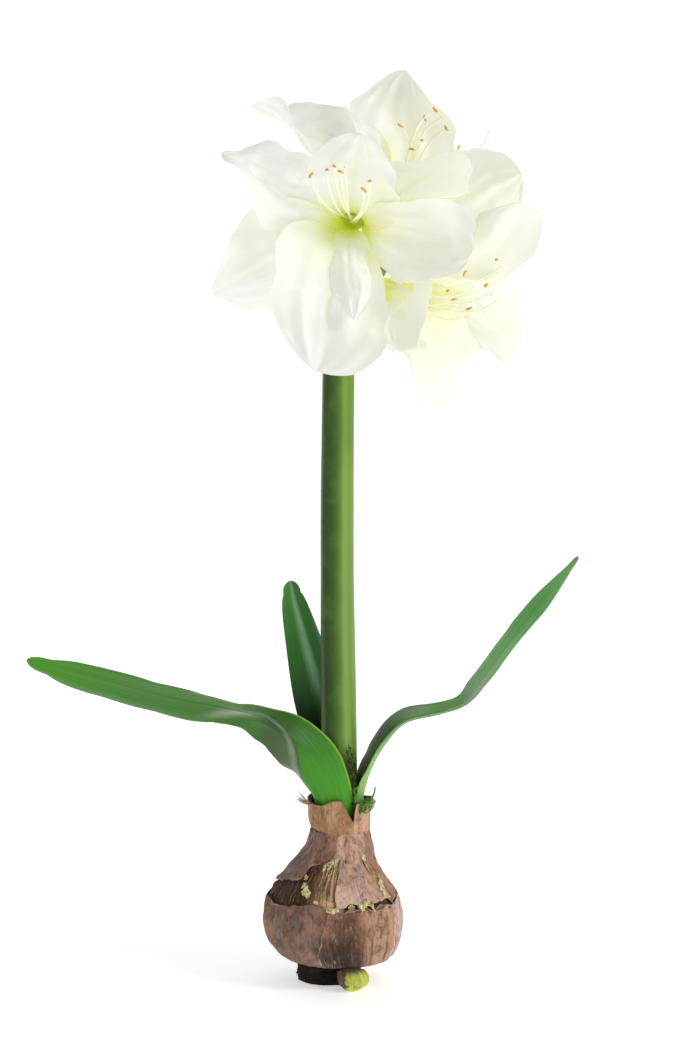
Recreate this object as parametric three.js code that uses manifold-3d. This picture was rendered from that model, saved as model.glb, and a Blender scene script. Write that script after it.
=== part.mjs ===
// An amaryllis (Hippeastrum) in flower, growing out of its bare bulb.
// Millimetres, +Z up. The origin is on the floor under the bulb's axis, and -Y is the front.
import * as THREE from 'three';
import { mergeVertices } from 'three/addons/utils/BufferGeometryUtils.js';
import Module from 'manifold-3d';

const wasm = await Module();
wasm.setup();

// ---- driving dimensions -------------------------------------------------------------------

const FIT_GAP = 0.3; // air between pieces that touch
const FUSE_TOLERANCE = 0.03; // slivers thinner than this are dropped where shapes join

const PLATE = { x: -4, radius: 22.5, height: 13.7, waist: 0.95 };

const BULB = {
  // radius, height and sideways lean of the outline, from the underside up to the rim of the neck
  outline: [
    [23, 14, 1.5], [36.3, 17.5, 2.6], [42, 24.5, 1], [45.4, 31.5, -0.5], [46.8, 42, -1.2], [45.8, 52.5, -1],
    [42.6, 63, -1.2], [36.6, 71.5, -1], [29.4, 80.5, 0.4], [26, 89, 2], [23.8, 98, 3.2], [21.4, 108.5, 3.6],
    [19.8, 118, 3.6], [21.4, 128, 3.6],
  ],
  ribs: { count: 9, depth: 0.9 },
  pocket: { radius: 17.6, rim: 19.2, floor: 102 },
  rim: { ripple: 1.8, notchAngle: -52, notchWidth: 15, notchDepth: 13 },
  // upper edges of the torn outer skins
  skins: [
    { height: 92, reach: 5, lobes: 3, phase: 0.6, step: 1.3 },
    { height: 66, reach: 7, lobes: 4, phase: 2.1, step: 1.5 },
  ],
  rows: 22,
  sides: 30,
};

const BULBLET = {
  // radius, height and how far each ring stands off to the right and to the back
  outline: [
    [5.5, 0, 0, 0], [9.4, 3, 0.4, 0.6], [11, 7.5, 0.2, 0.4],
    [10.2, 12.5, -1, -0.4], [6.6, 17, -2.6, -1.4], [2, 19.6, -3.4, -2],
  ],
  x: 12.8,
  y: -31,
  lobes: { count: 3, depth: 0.07 },
  rows: 8,
  sides: 14,
};

const SCAPE = {
  // middle line from the pocket's floor to the top, with the radius at each point
  line: [
    [3.5, 0, 102.3, 12.7], [3.4, 0, 170, 12.5], [2.4, 0, 260, 11.9], [2.2, 0, 350, 11.4], [3.5, 0, 474, 11],
  ],
  rows: 12,
  sides: 18,
};

const LEAF_SHEET = { rows: { left: 22, right: 20, back: 12 }, columns: 6, thickness: 2.2, edge: 1 };

// Each station: x, y, z, width, roll, curl (1/radius), crease place, crease angle.
const LEAVES = {
  left: [
    [-3.4, -13.6, 102.3, 31.5, 27, -1 / 15.3, 1, 0],
    [-3.4, -13.6, 117, 32.5, 27, -1 / 15.3, 1, 0],
    [-6, -16, 136, 38, 24, -1 / 19, 0.9, 10],
    [-14, -19.5, 154, 42, 4, -1 / 40, 0.4, 36],
    [-25, -23, 170, 40, -34, 0, 0.35, 58],
    [-36.5, -27, 182, 39, -60, 0, 0.33, 62],
    [-50, -31, 190, 36, -75, 0, 0.33, 50],
    [-65, -35, 195, 32, -84, 0, 0.3, 24],
    [-82, -39, 199, 31, -70, 0, 0.2, 16],
    [-98.5, -43, 202.5, 32, -58, 0, 0.1, 12],
    [-125, -47, 209.5, 30, -60, 0, 0, 10],
    [-152, -51, 217.5, 27, -60, 0, 0, 8],
    [-182, -54, 226, 22, -54, 0, 0, 8],
    [-208, -55, 234, 3, -46, 0, 0, 6],
  ],
  right: [
    [18.8, -0.6, 102.3, 20, 88, 1 / 15.3, 0, -2],
    [18.8, -0.6, 117, 20.5, 88, 1 / 15.3, 0, -2],
    [20.6, -1.2, 134.5, 24, 86, 1 / 20, 0, -20],
    [26, -2, 152, 29, 82, 0, 0, -40],
    [36, -3, 169.5, 30, 82, 0, 0, -46],
    [50, -4, 184, 30, 82, 0, 0, -42],
    [74, -6, 190.5, 30, 83, 0, 0, -34],
    [91, -8, 197, 29, 83, 0, 0, -28],
    [102.5, -9, 211, 28, 76, 0, 0, -26],
    [123, -12, 240, 26, 70, 0, 0, -22],
    [143.5, -14, 267, 22, 64, 0, 0, -18],
    [169.5, -16, 301, 3, 60, 0, 0, -10],
  ],
  back: [
    [2.2, 15.1, 102.3, 26, 0, 1 / 15.2, 0, 0],
    [2.2, 15.1, 115, 26.5, 0, 1 / 15.2, 0, 0],
    [1.4, 16.4, 132, 30, 0, 1 / 18, 0, -8],
    [-4.5, 20, 170, 36, 0, 1 / 40, 0, -16],
    [-12.5, 23, 202, 35, 4, 0, 0, -20],
    [-22, 26, 238, 26, 8, 0, 0, -18],
    [-29, 28, 266, 17, 10, 0, 0, -14],
    [-31.5, 29, 280, 3, 10, 0, 0, -8],
  ],
};
const LEAF_WAVE = { left: 2.2, right: 0.8, back: 0.4 };
const CREASE_SOFTNESS = 4;

const TEPAL_SHEET = { rows: 9, columns: 4, thickness: 0.8, base: 1.2 };
const TEPAL = {
  fromAxis: [5.8, 7.4], // inner and outer whorl, at the foot
  tubeAngle: 8, // how far the tube opens before the blades spread
  tubeShare: 0.6, // half width in the tube, in radians round the axis
  tipHalfWidth: 0.6,
  midrib: { depth: 0.8, width: 3.5 },
};
const CUP_FLOOR = { radius: 8, thickness: 2.2, sides: 12 };

// Each bloom: foot of the tube, axis, stamen tips and stigma (world coordinates), and six tepals:
// azimuth, length, width, spread, curl, twist half way, twist at tip, cup, roll, wave, phase, sway,
// how the blade widens from its foot, how it narrows to its tip, and how far inwards it lies.
const BLOOMS = {
  front: {
    foot: [14, -14, 534],
    axis: [-0.12, -0.96, -0.22],
    tepals: [
      [7, 99, 76, 56, -4, 1, 24, 0.5, 4, 5, 0.3, 8, 0.56, 0.6, 3.2],
      [97, 108, 62, 65, 10, -11, 35, 0.8, 2, 2, 1, 1, 0.9, 0.25, 0],
      [180, 101, 33, 31, 20, 7, 17, -0.95, 1, 1.5, 2, -8, 0.6, 0.6, 4],
      [206, 130, 90, 42, 22, 16, -4, 0.3, 4, 3.5, 0, -23, 0.9, 0.6, 1.8],
      [248, 122, 81, 79, -1, 14, 35, 0.1, 3, 2.5, 4, -4, 1.03, 0.88, 0],
      [304, 120, 58, 66, 16, -19, -85, 0.2, 3, 4, 5, -1, 0.85, 0.46, 2.4],
    ],
    stamens: [
      [-14, -96, 557], [1, -103, 562], [5, -98, 559], [24, -97, 553], [20, -90, 548], [-4, -100, 560],
    ],
    stigma: [8, -110, 561],
  },
  right: {
    foot: [28, -16, 487],
    axis: [0.72, -0.66, -0.2],
    tepals: [
      [11, 130, 102, 70, 41, 16, 20, 0.64, 2, 2, 0, 23, 1.1, 0.45, 1.8],
      [74, 103, 68, 51, 26, -44, 6, 0.4, 2, 2, 1, 27, 0.85, 0.25, 0],
      [144, 82, 63, 58, 17, 21, -6, 0.4, 2, 2, 2, -30, 1.05, 0.54, 1.6],
      [208, 84, 104, 52, 6, -23, 8, 0.57, 2, 2.5, 3, -24, 0.66, 0.61, 3],
      [266, 76, 68, 42, -8, 14, -14, 0.45, 2, 2, 4, 0, 0.78, 0.4, 0],
      [304, 58, 50, 66, 8, -12, 0, 0.4, 1, 1.5, 5, 4, 0.8, 0.45, 1.6],
    ],
    stamens: [
      [108, -75, 503], [87, -80, 494], [76, -71, 483], [80, -74, 477], [90, -74, 471], [101, -82, 486],
    ],
    stigma: [104, -90, 480],
  },
  top: {
    foot: [42, 6, 526],
    axis: [0.2, -0.16, 0.96],
    tepals: [
      [328, 113, 94, 33, -45, -3, 60, 0.8, 2, 2.5, 0, 5, 0.58, 0.62, 1.8],
      [32, 66, 48, 30, 14, 0, 0, 0.5, 2, 2, 1, 0, 0.78, 0.52, 0],
      [120, 62, 48, 60, 10, 0, 0, 0.4, 2, 2, 2, 0, 0.78, 0.52, 1.8],
      [179, 87, 73, 66, -29, 18, -37, 0.51, 1, 2, 3, -26, 0.4, 0.59, 0],
      [228, 80, 54, 70, 10, 0, 0, 0.4, 2, 2, 4, 0, 0.78, 0.52, 1.8],
      [271, 138, 62, 81, -12, 55, -17, 0.93, 3, 4, 5, 1, 0.81, 0.42, 0],
    ],
    stamens: [
      [70, -6, 609], [77, -20, 595], [53, -30, 580], [63, 0, 604], [46, -8, 598], [60, -28, 586],
    ],
    stigma: [74, -14, 603],
  },
  back: {
    foot: [32, 20, 522],
    axis: [0.55, 0.7, 0.36],
    tepals: [
      [0, 108, 60, 50, 15, 0, 0, 0.4, 2, 2, 0, 0, 0.8, 0.9, 1.8],
      [60, 112, 60, 55, 20, 0, 0, 0.4, 2, 2, 1, 0, 0.8, 0.9, 0],
      [120, 118, 66, 60, 30, 0, 0, 0.4, 2, 2, 2, 0, 0.8, 0.9, 1.8],
      [180, 110, 60, 60, 30, 0, 0, 0.4, 2, 2, 3, 0, 0.8, 0.9, 0],
      [232, 105, 60, 50, 15, 0, 0, 0.4, 2, 2, 4, 0, 0.8, 0.9, 1.8],
      [280, 110, 75, 57, -6, 3, -3, 0.4, 2, 2, 5, 6, 0.7, 0.49, 0],
    ],
    stamens: [
      [70, 100, 604], [90, 70, 590], [98, 82, 582], [84, 92, 580], [106, 85, 579], [94, 97, 574],
    ],
    stigma: [112, 85, 603],
  },
};

// Where two blooms press against each other: near bloom, far bloom, a point between them, normal.
const PARTINGS = [
  ['front', 'right', [60, -50, 492.5], [0.45, 0.72, -0.53]],
  ['front', 'top', [36, -38, 562], [0.25, 0.8, 0.55]],
  ['front', 'back', [5, 6, 540], [0.1, 0.97, 0.2]],
  ['right', 'top', [90, -30, 545], [0, 0.55, 0.83]],
  ['right', 'back', [70, 0, 510], [0.1, 0.92, 0.4]],
  ['top', 'back', [52, 30, 556], [0.25, 0.85, -0.45]],
];
const PARTING = { clear: 0.9, reach: 12, passes: 2 };

const STAMEN = { radius: 0.65, anther: [0.95, 0.95, 2.7], rootRadius: 3.4, rootHeight: 2, steps: 6 };

// Stalk of each bloom: where it leaves the scape, and the points it bends through on its way up.
const PEDICELS = {
  front: [[-2.4, -1], [-3.5, 2, 500], [1, 9, 526], [10.5, 9, 538.5]],
  right: [[6.5, -5.2], [9.5, -5.5, 483]],
  top: [[9.1, 2.05], [22, 4.5, 486], [35, 8.5, 501]],
  back: [[2.5, 5.9], [5, 6, 499], [14, 2, 511.5]],
};
const PEDICEL = { radius: 3.2, ovary: 6.2, neck: 5.4, ovaryLength: 16, rows: 11, sides: 8 };

const BRACTS = {
  front: { angle: -95, reach: 13, drop: 34 },
  back: { angle: 95, reach: 15, drop: 38 },
};
const BRACT = { width: 17, thickness: 0.8, top: 479, rise: 7, rows: 8, columns: 4 };

const MOSS = { angle: -48.5, radius: 15.4, core: 1.2, coreTop: 128, threads: 9, threadRadius: 0.5, steps: 6 };

// ---- materials ----------------------------------------------------------------------------

const finish = (color, roughness) => new THREE.MeshStandardMaterial({ color, roughness, metalness: 0 });

const COLOURS = {
  tunic: [0x7d5a4a, 0.85],
  rootPlate: [0x2a1d18, 0.95],
  bulblet: [0x8f9a2e, 0.6],
  scape: [0x55742a, 0.42],
  leaf: [0x3f7f35, 0.45],
  leafDark: [0x2c6238, 0.45],
  moss: [0x3a5a1c, 0.9],
  pedicel: [0x7c9a45, 0.5],
  bract: [0xb9ab84, 0.8],
  tepal: [0xf6f5ea, 0.55],
  stamen: [0xe9dfa0, 0.6],
};

// ---- small helpers ------------------------------------------------------------------------

const { degToRad, lerp, smoothstep } = THREE.MathUtils;
const vector = (values) => new THREE.Vector3(...values);

function addScaled(point, ...parts) {
  const sum = point.clone();
  for (const [direction, length] of parts) sum.addScaledVector(direction, length);
  return sum;
}

// Value at u in 0..1 along an evenly spaced list of numbers, on a smooth spline.
function splineThrough(values) {
  const curve = new THREE.SplineCurve(values.map((value, i) => new THREE.Vector2(i, value)));
  return (u) => curve.getPoint(u).y;
}

// A curve that runs from point to point, with its parameter spread evenly over the points.
function smoothLine(points) {
  return new THREE.CatmullRomCurve3(points, false, 'catmullrom', 0.5);
}

function indexedGeometry(positions, index) {
  const geometry = new THREE.BufferGeometry();
  geometry.setAttribute('position', new THREE.Float32BufferAttribute(positions, 3));
  geometry.setIndex(index);
  return geometry;
}

// A closed solid through rings of points, each ring right-handed about the way it runs.
function loft(rings) {
  const sides = rings[0].length;
  const positions = rings.flat().flatMap((point) => point.toArray());
  const index = [];
  for (let i = 0; i + 1 < rings.length; i += 1) {
    for (let j = 0; j < sides; j += 1) {
      const a = i * sides + j;
      const b = i * sides + ((j + 1) % sides);
      index.push(a, b, b + sides, a, b + sides, a + sides);
    }
  }
  for (const [ring, flip] of [[0, true], [rings.length - 1, false]]) {
    const centre = new THREE.Vector3();
    rings[ring].forEach((point) => centre.addScaledVector(point, 1 / sides));
    const middle = positions.length / 3;
    positions.push(...centre.toArray());
    for (let j = 0; j < sides; j += 1) {
      const a = ring * sides + j;
      const b = ring * sides + ((j + 1) % sides);
      if (flip) index.push(middle, b, a);
      else index.push(middle, a, b);
    }
  }
  return indexedGeometry(positions, index);
}

// A round stalk along a curve, its radius given by how far along it is.
function stalk(curve, rows, sides, radiusAt) {
  const frames = curve.computeFrenetFrames(rows, false);
  const rings = [];
  for (let i = 0; i <= rows; i += 1) {
    const centre = curve.getPointAt(i / rows);
    const radius = radiusAt(i / rows);
    const ring = [];
    for (let j = 0; j < sides; j += 1) {
      const turn = (2 * Math.PI * j) / sides;
      ring.push(addScaled(
        centre,
        [frames.normals[i], radius * Math.cos(turn)],
        [frames.binormals[i], radius * Math.sin(turn)],
      ));
    }
    rings.push(ring);
  }
  return loft(rings);
}

// A closed thin sheet about a grid of middle points, with the same triangles on both faces.
// s runs 0..1 along it and t runs -1..1 across it.
function sheet(rows, columns, middleAt, thicknessAt) {
  const width = columns + 1;
  const grid = [];
  for (let i = 0; i <= rows; i += 1) {
    for (let j = 0; j <= columns; j += 1) grid.push(middleAt(i / rows, (2 * j) / columns - 1));
  }
  const at = (i, j) => grid[i * width + j];
  const layer = grid.length;
  const positions = [];
  for (const side of [0.5, -0.5]) {
    for (let i = 0; i <= rows; i += 1) {
      for (let j = 0; j <= columns; j += 1) {
        const along = at(Math.min(i + 1, rows), j).clone().sub(at(Math.max(i - 1, 0), j));
        const across = at(i, Math.min(j + 1, columns)).clone().sub(at(i, Math.max(j - 1, 0)));
        const normal = along.cross(across).normalize();
        const thickness = thicknessAt(i / rows, (2 * j) / columns - 1);
        positions.push(...addScaled(at(i, j), [normal, side * thickness]).toArray());
      }
    }
  }
  const index = [];
  for (let i = 0; i < rows; i += 1) {
    for (let j = 0; j < columns; j += 1) {
      const a = i * width + j;
      const c = a + width + 1;
      index.push(a, a + width, c, a, c, a + 1);
      index.push(a + layer, c + layer, a + width + layer, a + layer, a + 1 + layer, c + layer);
    }
  }
  const rim = [];
  for (let i = 0; i < rows; i += 1) rim.push(i * width);
  for (let j = 0; j < columns; j += 1) rim.push(rows * width + j);
  for (let i = rows; i > 0; i -= 1) rim.push(i * width + columns);
  for (let j = columns; j > 0; j -= 1) rim.push(j);
  rim.forEach((from, k) => {
    const to = rim[(k + 1) % rim.length];
    index.push(to, from, from + layer, to, from + layer, to + layer);
  });
  return indexedGeometry(positions, index);
}

function toSolid(geometry) {
  const bare = geometry.clone();
  bare.deleteAttribute('normal');
  bare.deleteAttribute('uv');
  const merged = mergeVertices(bare, 1e-4);
  return new wasm.Manifold(new wasm.Mesh({
    numProp: 3,
    vertProperties: new Float32Array(merged.attributes.position.array),
    triVerts: new Uint32Array(merged.index.array),
  }));
}

function toGeometry(solid) {
  const mesh = solid.getMesh();
  const geometry = new THREE.BufferGeometry();
  geometry.setAttribute('position', new THREE.BufferAttribute(mesh.vertProperties, 3));
  geometry.setIndex(new THREE.BufferAttribute(mesh.triVerts, 1));
  return geometry;
}

// Joins shapes into one body, with the small hollows that crossing sheets enclose filled.
function fuse(geometries) {
  const joined = geometries.map(toSolid).reduce((sum, solid) => sum.add(solid));
  const tidied = joined.asOriginal().simplify(FUSE_TOLERANCE);
  return tidied.decompose().reduce((outer, shell) => (shell.volume() > outer.volume() ? shell : outer));
}

// ---- bulb, root plate and bulblet ---------------------------------------------------------

function skinEdge(skin, angle) {
  const wave = 0.6 * Math.sin(skin.lobes * angle + skin.phase) + 0.4 * Math.sin((2 * skin.lobes + 1) * angle);
  return skin.height + skin.reach * wave;
}

function rimHeight(angle) {
  const { ripple, notchAngle, notchWidth, notchDepth } = BULB.rim;
  const off = THREE.MathUtils.euclideanModulo(angle - degToRad(notchAngle) + Math.PI, 2 * Math.PI) - Math.PI;
  const notch = Math.max(0, 1 - Math.abs(off) / degToRad(notchWidth));
  return ripple * (Math.sin(3 * angle) + 0.5 * Math.sin(7 * angle + 1)) - notchDepth * notch;
}

// The bulb's skin, its neck and the pocket that the stem and leaves stand in. With grow, every
// outer face stands that much further out.
function bulbGeometry(grow = 0) {
  const { outline, ribs, pocket, skins, rows, sides } = BULB;
  const radiusAt = splineThrough(outline.map(([radius]) => radius));
  const heightAt = splineThrough(outline.map(([, height]) => height));
  const leanAt = splineThrough(outline.map(([, , x]) => x));
  const neckFrom = outline.at(-3)[1];
  const neckTo = outline.at(-1)[1];
  const ring = (height, radius, x, detail) => {
    const points = [];
    for (let j = 0; j < sides; j += 1) {
      const angle = (2 * Math.PI * j) / sides;
      const lifted = height + rimHeight(angle) * smoothstep(height, neckFrom, neckTo);
      let reach = radius;
      if (detail) {
        reach += ribs.depth * Math.sin(ribs.count * angle + 0.05 * height) * smoothstep(height, 14, 40);
        for (const skin of skins) {
          const edge = skinEdge(skin, angle);
          reach += skin.step * (1 - smoothstep(lifted, edge - 1.5, edge + 1.5)) * smoothstep(height, 14, 30);
        }
      }
      points.push(vector([x + reach * Math.cos(angle), reach * Math.sin(angle), lifted]));
    }
    return points;
  };
  const rings = [];
  for (let i = 0; i <= rows; i += 1) {
    const u = i / rows;
    const height = heightAt(u) - (i === 0 ? grow : 0);
    rings.push(ring(height, radiusAt(u) + grow, leanAt(u), true));
  }
  rings.push(ring(neckTo, pocket.rim, leanAt(1), false));
  rings.push(ring(neckFrom, pocket.radius, leanAt(1), false));
  rings.push(ring(pocket.floor, pocket.radius, leanAt(1), false));
  return loft(rings);
}

function plateGeometry(grow = 0) {
  const { radius, height, waist } = PLATE;
  const edge = radius + grow;
  const profile = [
    [0, 0], [edge * waist, 0], [edge, height * 0.3], [edge * 0.98, height * 0.6], [edge, height], [0, height],
  ].map(([r, z]) => new THREE.Vector2(r, z));
  const geometry = new THREE.LatheGeometry(profile, 32);
  geometry.rotateX(Math.PI / 2);
  geometry.translate(PLATE.x, 0, 0);
  return geometry;
}

// A lopsided daughter bulb, cut clear of the bulb's underside and the root plate.
function bulbletSolid() {
  const { outline, x, y, lobes, rows, sides } = BULBLET;
  const [radiusAt, heightAt, rightAt, backAt] = [0, 1, 2, 3]
    .map((column) => splineThrough(outline.map((row) => row[column])));
  const rings = [];
  for (let i = 0; i <= rows; i += 1) {
    const u = i / rows;
    const ring = [];
    for (let j = 0; j < sides; j += 1) {
      const angle = (2 * Math.PI * j) / sides;
      const reach = radiusAt(u) * (1 + lobes.depth * Math.sin(lobes.count * angle + 2 * u));
      ring.push(vector([
        x + rightAt(u) + reach * Math.cos(angle),
        y + backAt(u) + reach * Math.sin(angle),
        heightAt(u),
      ]));
    }
    rings.push(ring);
  }
  return toSolid(loft(rings))
    .subtract(toSolid(bulbGeometry(3 * FIT_GAP)))
    .subtract(toSolid(plateGeometry(FIT_GAP)));
}

// ---- scape and leaves ---------------------------------------------------------------------

function scapeGeometry() {
  const { line, rows, sides } = SCAPE;
  const middle = smoothLine(line.map(([x, y, z]) => vector([x, y, z])));
  const radiusAt = splineThrough(line.map((point) => point[3]));
  const rings = [];
  for (let i = 0; i <= rows; i += 1) {
    const centre = middle.getPoint(i / rows);
    const ring = [];
    for (let j = 0; j < sides; j += 1) {
      const turn = (2 * Math.PI * j) / sides;
      const radius = radiusAt(i / rows);
      ring.push(vector([centre.x + radius * Math.cos(turn), centre.y + radius * Math.sin(turn), centre.z]));
    }
    rings.push(ring);
  }
  return loft(rings);
}

// A strap leaf: at each place along it the section is a curled line with one soft crease.
function leafGeometry(stations, rows, wave) {
  const middle = smoothLine(stations.map(([x, y, z]) => vector([x, y, z])));
  const [widthAt, rollAt, curlAt, creaseAt, foldAt] = [3, 4, 5, 6, 7]
    .map((column) => splineThrough(stations.map((station) => station[column])));
  const steps = 12;
  const middleAt = (s, t) => {
    const along = middle.getTangent(s);
    const inPlane = vector([-along.z, 0, along.x]).normalize();
    const roll = degToRad(rollAt(s));
    const across = inPlane.multiplyScalar(Math.cos(roll)).add(vector([0, Math.sin(roll), 0]));
    across.addScaledVector(along, -across.dot(along)).normalize();
    const normal = along.clone().cross(across);
    const half = Math.max(0.8, widthAt(s) / 2);
    const crease = creaseAt(s) * half;
    const fold = degToRad(foldAt(s));
    const pastCrease = (u) => smoothstep(u, crease - CREASE_SOFTNESS, crease + CREASE_SOFTNESS);
    const slopeAt = (u) => curlAt(s) * u - fold * (pastCrease(u) - pastCrease(0));
    let sideways = 0;
    let lift = 0;
    const step = (half * t) / steps;
    for (let k = 0; k < steps; k += 1) {
      const slope = slopeAt(step * (k + 0.5));
      sideways += step * Math.cos(slope);
      lift += step * Math.sin(slope);
    }
    const ripple = wave * t * t * Math.sign(t) * Math.sin(2 * Math.PI * 3.1 * s + 0.8);
    lift += ripple * smoothstep(s, 0.3, 0.5) * (half / 20);
    return addScaled(middle.getPoint(s), [across, sideways], [normal, lift]);
  };
  const { columns, thickness, edge } = LEAF_SHEET;
  const thicknessAt = (s, t) => lerp(thickness, edge, Math.max(t * t, smoothstep(s, 0.7, 1)));
  return sheet(rows, columns, middleAt, thicknessAt);
}

// ---- blooms -------------------------------------------------------------------------------

function bloomFrame(bloom) {
  const axis = vector(bloom.axis).normalize();
  const up = Math.abs(axis.z) < 0.9 ? vector([0, 0, 1]) : vector([0, 1, 0]);
  up.addScaledVector(axis, -up.dot(axis)).normalize();
  return { foot: vector(bloom.foot), axis, up, right: up.clone().cross(axis) };
}

// Middle line of a tepal with its frame and section, found step by step from the foot to the tip.
function tepalSpine(bloom, number, steps) {
  const { foot, axis, up, right } = bloomFrame(bloom);
  const [azimuth, length, width, spread, curl, twist, tipTwist, cup, ...rest] = bloom.tepals[number];
  const [, , , sway, low, high] = rest;
  const turn = degToRad(azimuth);
  const outward = addScaled(new THREE.Vector3(), [up, Math.cos(turn)], [right, Math.sin(turn)]);
  const around = addScaled(new THREE.Vector3(), [up, -Math.sin(turn)], [right, Math.cos(turn)]);
  const peak = (low / (low + high)) ** low * (high / (low + high)) ** high;
  const spine = [];
  const arc = addScaled(foot, [outward, TEPAL.fromAxis[number % 2]]);
  let last = null;
  for (let i = 0; i <= steps; i += 1) {
    const s = i / steps;
    const open = degToRad(lerp(TEPAL.tubeAngle, spread, smoothstep(s, 0.06, 0.5))
      + curl * Math.max(0, (s - 0.4) / 0.6) ** 1.5);
    const along = addScaled(new THREE.Vector3(), [outward, Math.sin(open)], [axis, Math.cos(open)]);
    const inward = addScaled(new THREE.Vector3(), [outward, -Math.cos(open)], [axis, Math.sin(open)]);
    if (last) arc.addScaledVector(last.clone().add(along), length / steps / 2);
    last = along;
    const centre = addScaled(arc, [around, sway * smoothstep(s, 0.35, 1)]);
    const turned = degToRad(twist * smoothstep(s, 0.1, 0.5) + (tipTwist - twist) * smoothstep(s, 0.5, 0.95));
    const reach = centre.clone().sub(foot);
    const fromAxis = reach.addScaledVector(axis, -reach.dot(axis)).length();
    const blade = ((width / 2) * s ** low * (1 - s) ** high) / peak;
    const half = i === steps
      ? TEPAL.tipHalfWidth
      : lerp(fromAxis * TEPAL.tubeShare, blade, smoothstep(s, 0.12, 0.42));
    spine.push({
      centre,
      side: addScaled(new THREE.Vector3(), [around, Math.cos(turned)], [inward, Math.sin(turned)]),
      face: addScaled(new THREE.Vector3(), [around, -Math.sin(turned)], [inward, Math.cos(turned)]),
      half,
      curve: lerp(1 / fromAxis, (2 * cup) / width, smoothstep(s, 0.12, 0.5)),
    });
  }
  return spine;
}

// Moves a point of a bloom off the planes where it presses against its neighbours.
function partedFrom(name, point, s) {
  const weight = smoothstep(s, 0.12, 0.32);
  for (let pass = 0; pass < PARTING.passes; pass += 1) {
    for (const [near, far, place, direction] of PARTINGS) {
      if (name !== near && name !== far) continue;
      const normal = vector(direction).normalize().multiplyScalar(name === near ? 1 : -1);
      const distance = vector(place).sub(point).dot(normal);
      if (distance >= PARTING.reach) continue;
      const range = PARTING.reach - PARTING.clear;
      const kept = PARTING.clear + range * Math.exp((distance - PARTING.reach) / range);
      point.addScaledVector(normal, (distance - kept) * weight);
    }
  }
  return point;
}

function tepalGeometry(name, number) {
  const bloom = BLOOMS[name];
  const { rows, columns, thickness, base } = TEPAL_SHEET;
  const [, , width, , , , , , roll, wave, phase, , , , layer] = bloom.tepals[number];
  const fine = 8;
  const spine = tepalSpine(bloom, number, rows * fine);
  const middleAt = (s, t) => {
    const { centre, side, face, half, curve } = spine[Math.round(s * rows * fine)];
    const across = half * t;
    const blade = half / (width / 2);
    const edge = Math.abs(t);
    const later = t > 0 ? 1 : 0;
    let lift = (1 - Math.cos(curve * across)) / curve;
    lift -= roll * blade * smoothstep(edge, 0.45, 1) * smoothstep(s, 0.3, 0.8);
    lift += wave * blade * edge ** 2 * Math.sin(2 * Math.PI * 1.6 * s + phase + 1.3 * later)
      * smoothstep(s, 0.25, 0.6);
    lift += 0.35 * wave * blade * edge ** 4 * Math.sin(2 * Math.PI * 4.3 * s + 2 * phase + 2.1 * later)
      * smoothstep(s, 0.4, 0.7);
    lift -= TEPAL.midrib.depth * Math.exp(-((across / TEPAL.midrib.width) ** 2)) * smoothstep(s, 0.1, 0.4);
    lift += layer * smoothstep(s, 0.05, 0.3);
    const point = addScaled(centre, [side, Math.sin(curve * across) / curve], [face, lift]);
    return partedFrom(name, point, s);
  };
  return sheet(rows, columns, middleAt, (s) => lerp(base, thickness, smoothstep(s, 0, 0.25)));
}

// A disc that stands on the foot of a bloom and looks along its axis.
function footDisc(bloom, radius, from, thickness, sides) {
  const { foot, axis } = bloomFrame(bloom);
  const disc = new THREE.CylinderGeometry(radius, radius, thickness, sides);
  disc.applyQuaternion(new THREE.Quaternion().setFromUnitVectors(vector([0, 1, 0]), axis));
  const middle = addScaled(foot, [axis, from + thickness / 2]);
  return disc.translate(...middle.toArray());
}

function bloomSolid(name) {
  const bloom = BLOOMS[name];
  const pieces = bloom.tepals.map((_, number) => tepalGeometry(name, number));
  pieces.push(footDisc(bloom, CUP_FLOOR.radius, 0, CUP_FLOOR.thickness, CUP_FLOOR.sides));
  return fuse(pieces);
}

function polygonShape(sides, radius) {
  const corners = [];
  for (let k = 0; k < sides; k += 1) {
    const turn = (2 * Math.PI * k) / sides;
    corners.push(new THREE.Vector2(radius * Math.cos(turn), radius * Math.sin(turn)));
  }
  return new THREE.Shape(corners);
}

function thread(curve, radius, steps, sides = 3) {
  const options = { steps, bevelEnabled: false, extrudePath: curve };
  return new THREE.ExtrudeGeometry(polygonShape(sides, radius), options);
}

// A filament leaves the tube along its axis and sweeps up to its tip, clear of the next bloom.
function filamentCurve(name, rootPoint, tip) {
  const { foot, axis } = bloomFrame(BLOOMS[name]);
  const reach = tip.distanceTo(foot);
  const offAxis = tip.clone().sub(foot);
  offAxis.addScaledVector(axis, -offAxis.dot(axis));
  const lift = Math.abs(axis.z) < 0.9 ? vector([0, 0, 1]) : offAxis.clone().normalize();
  const arriving = addScaled(new THREE.Vector3(), [axis, 0.6], [lift, 0.8]).normalize();
  const sweep = new THREE.CubicBezierCurve3(
    rootPoint,
    addScaled(rootPoint, [axis, reach * 0.42], [offAxis, 0.12]),
    addScaled(tip, [arriving, -reach * 0.3]),
    tip,
  );
  const points = sweep.getPoints(STAMEN.steps);
  return smoothLine(points.map((point, k) => partedFrom(name, point, k / STAMEN.steps)));
}

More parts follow.
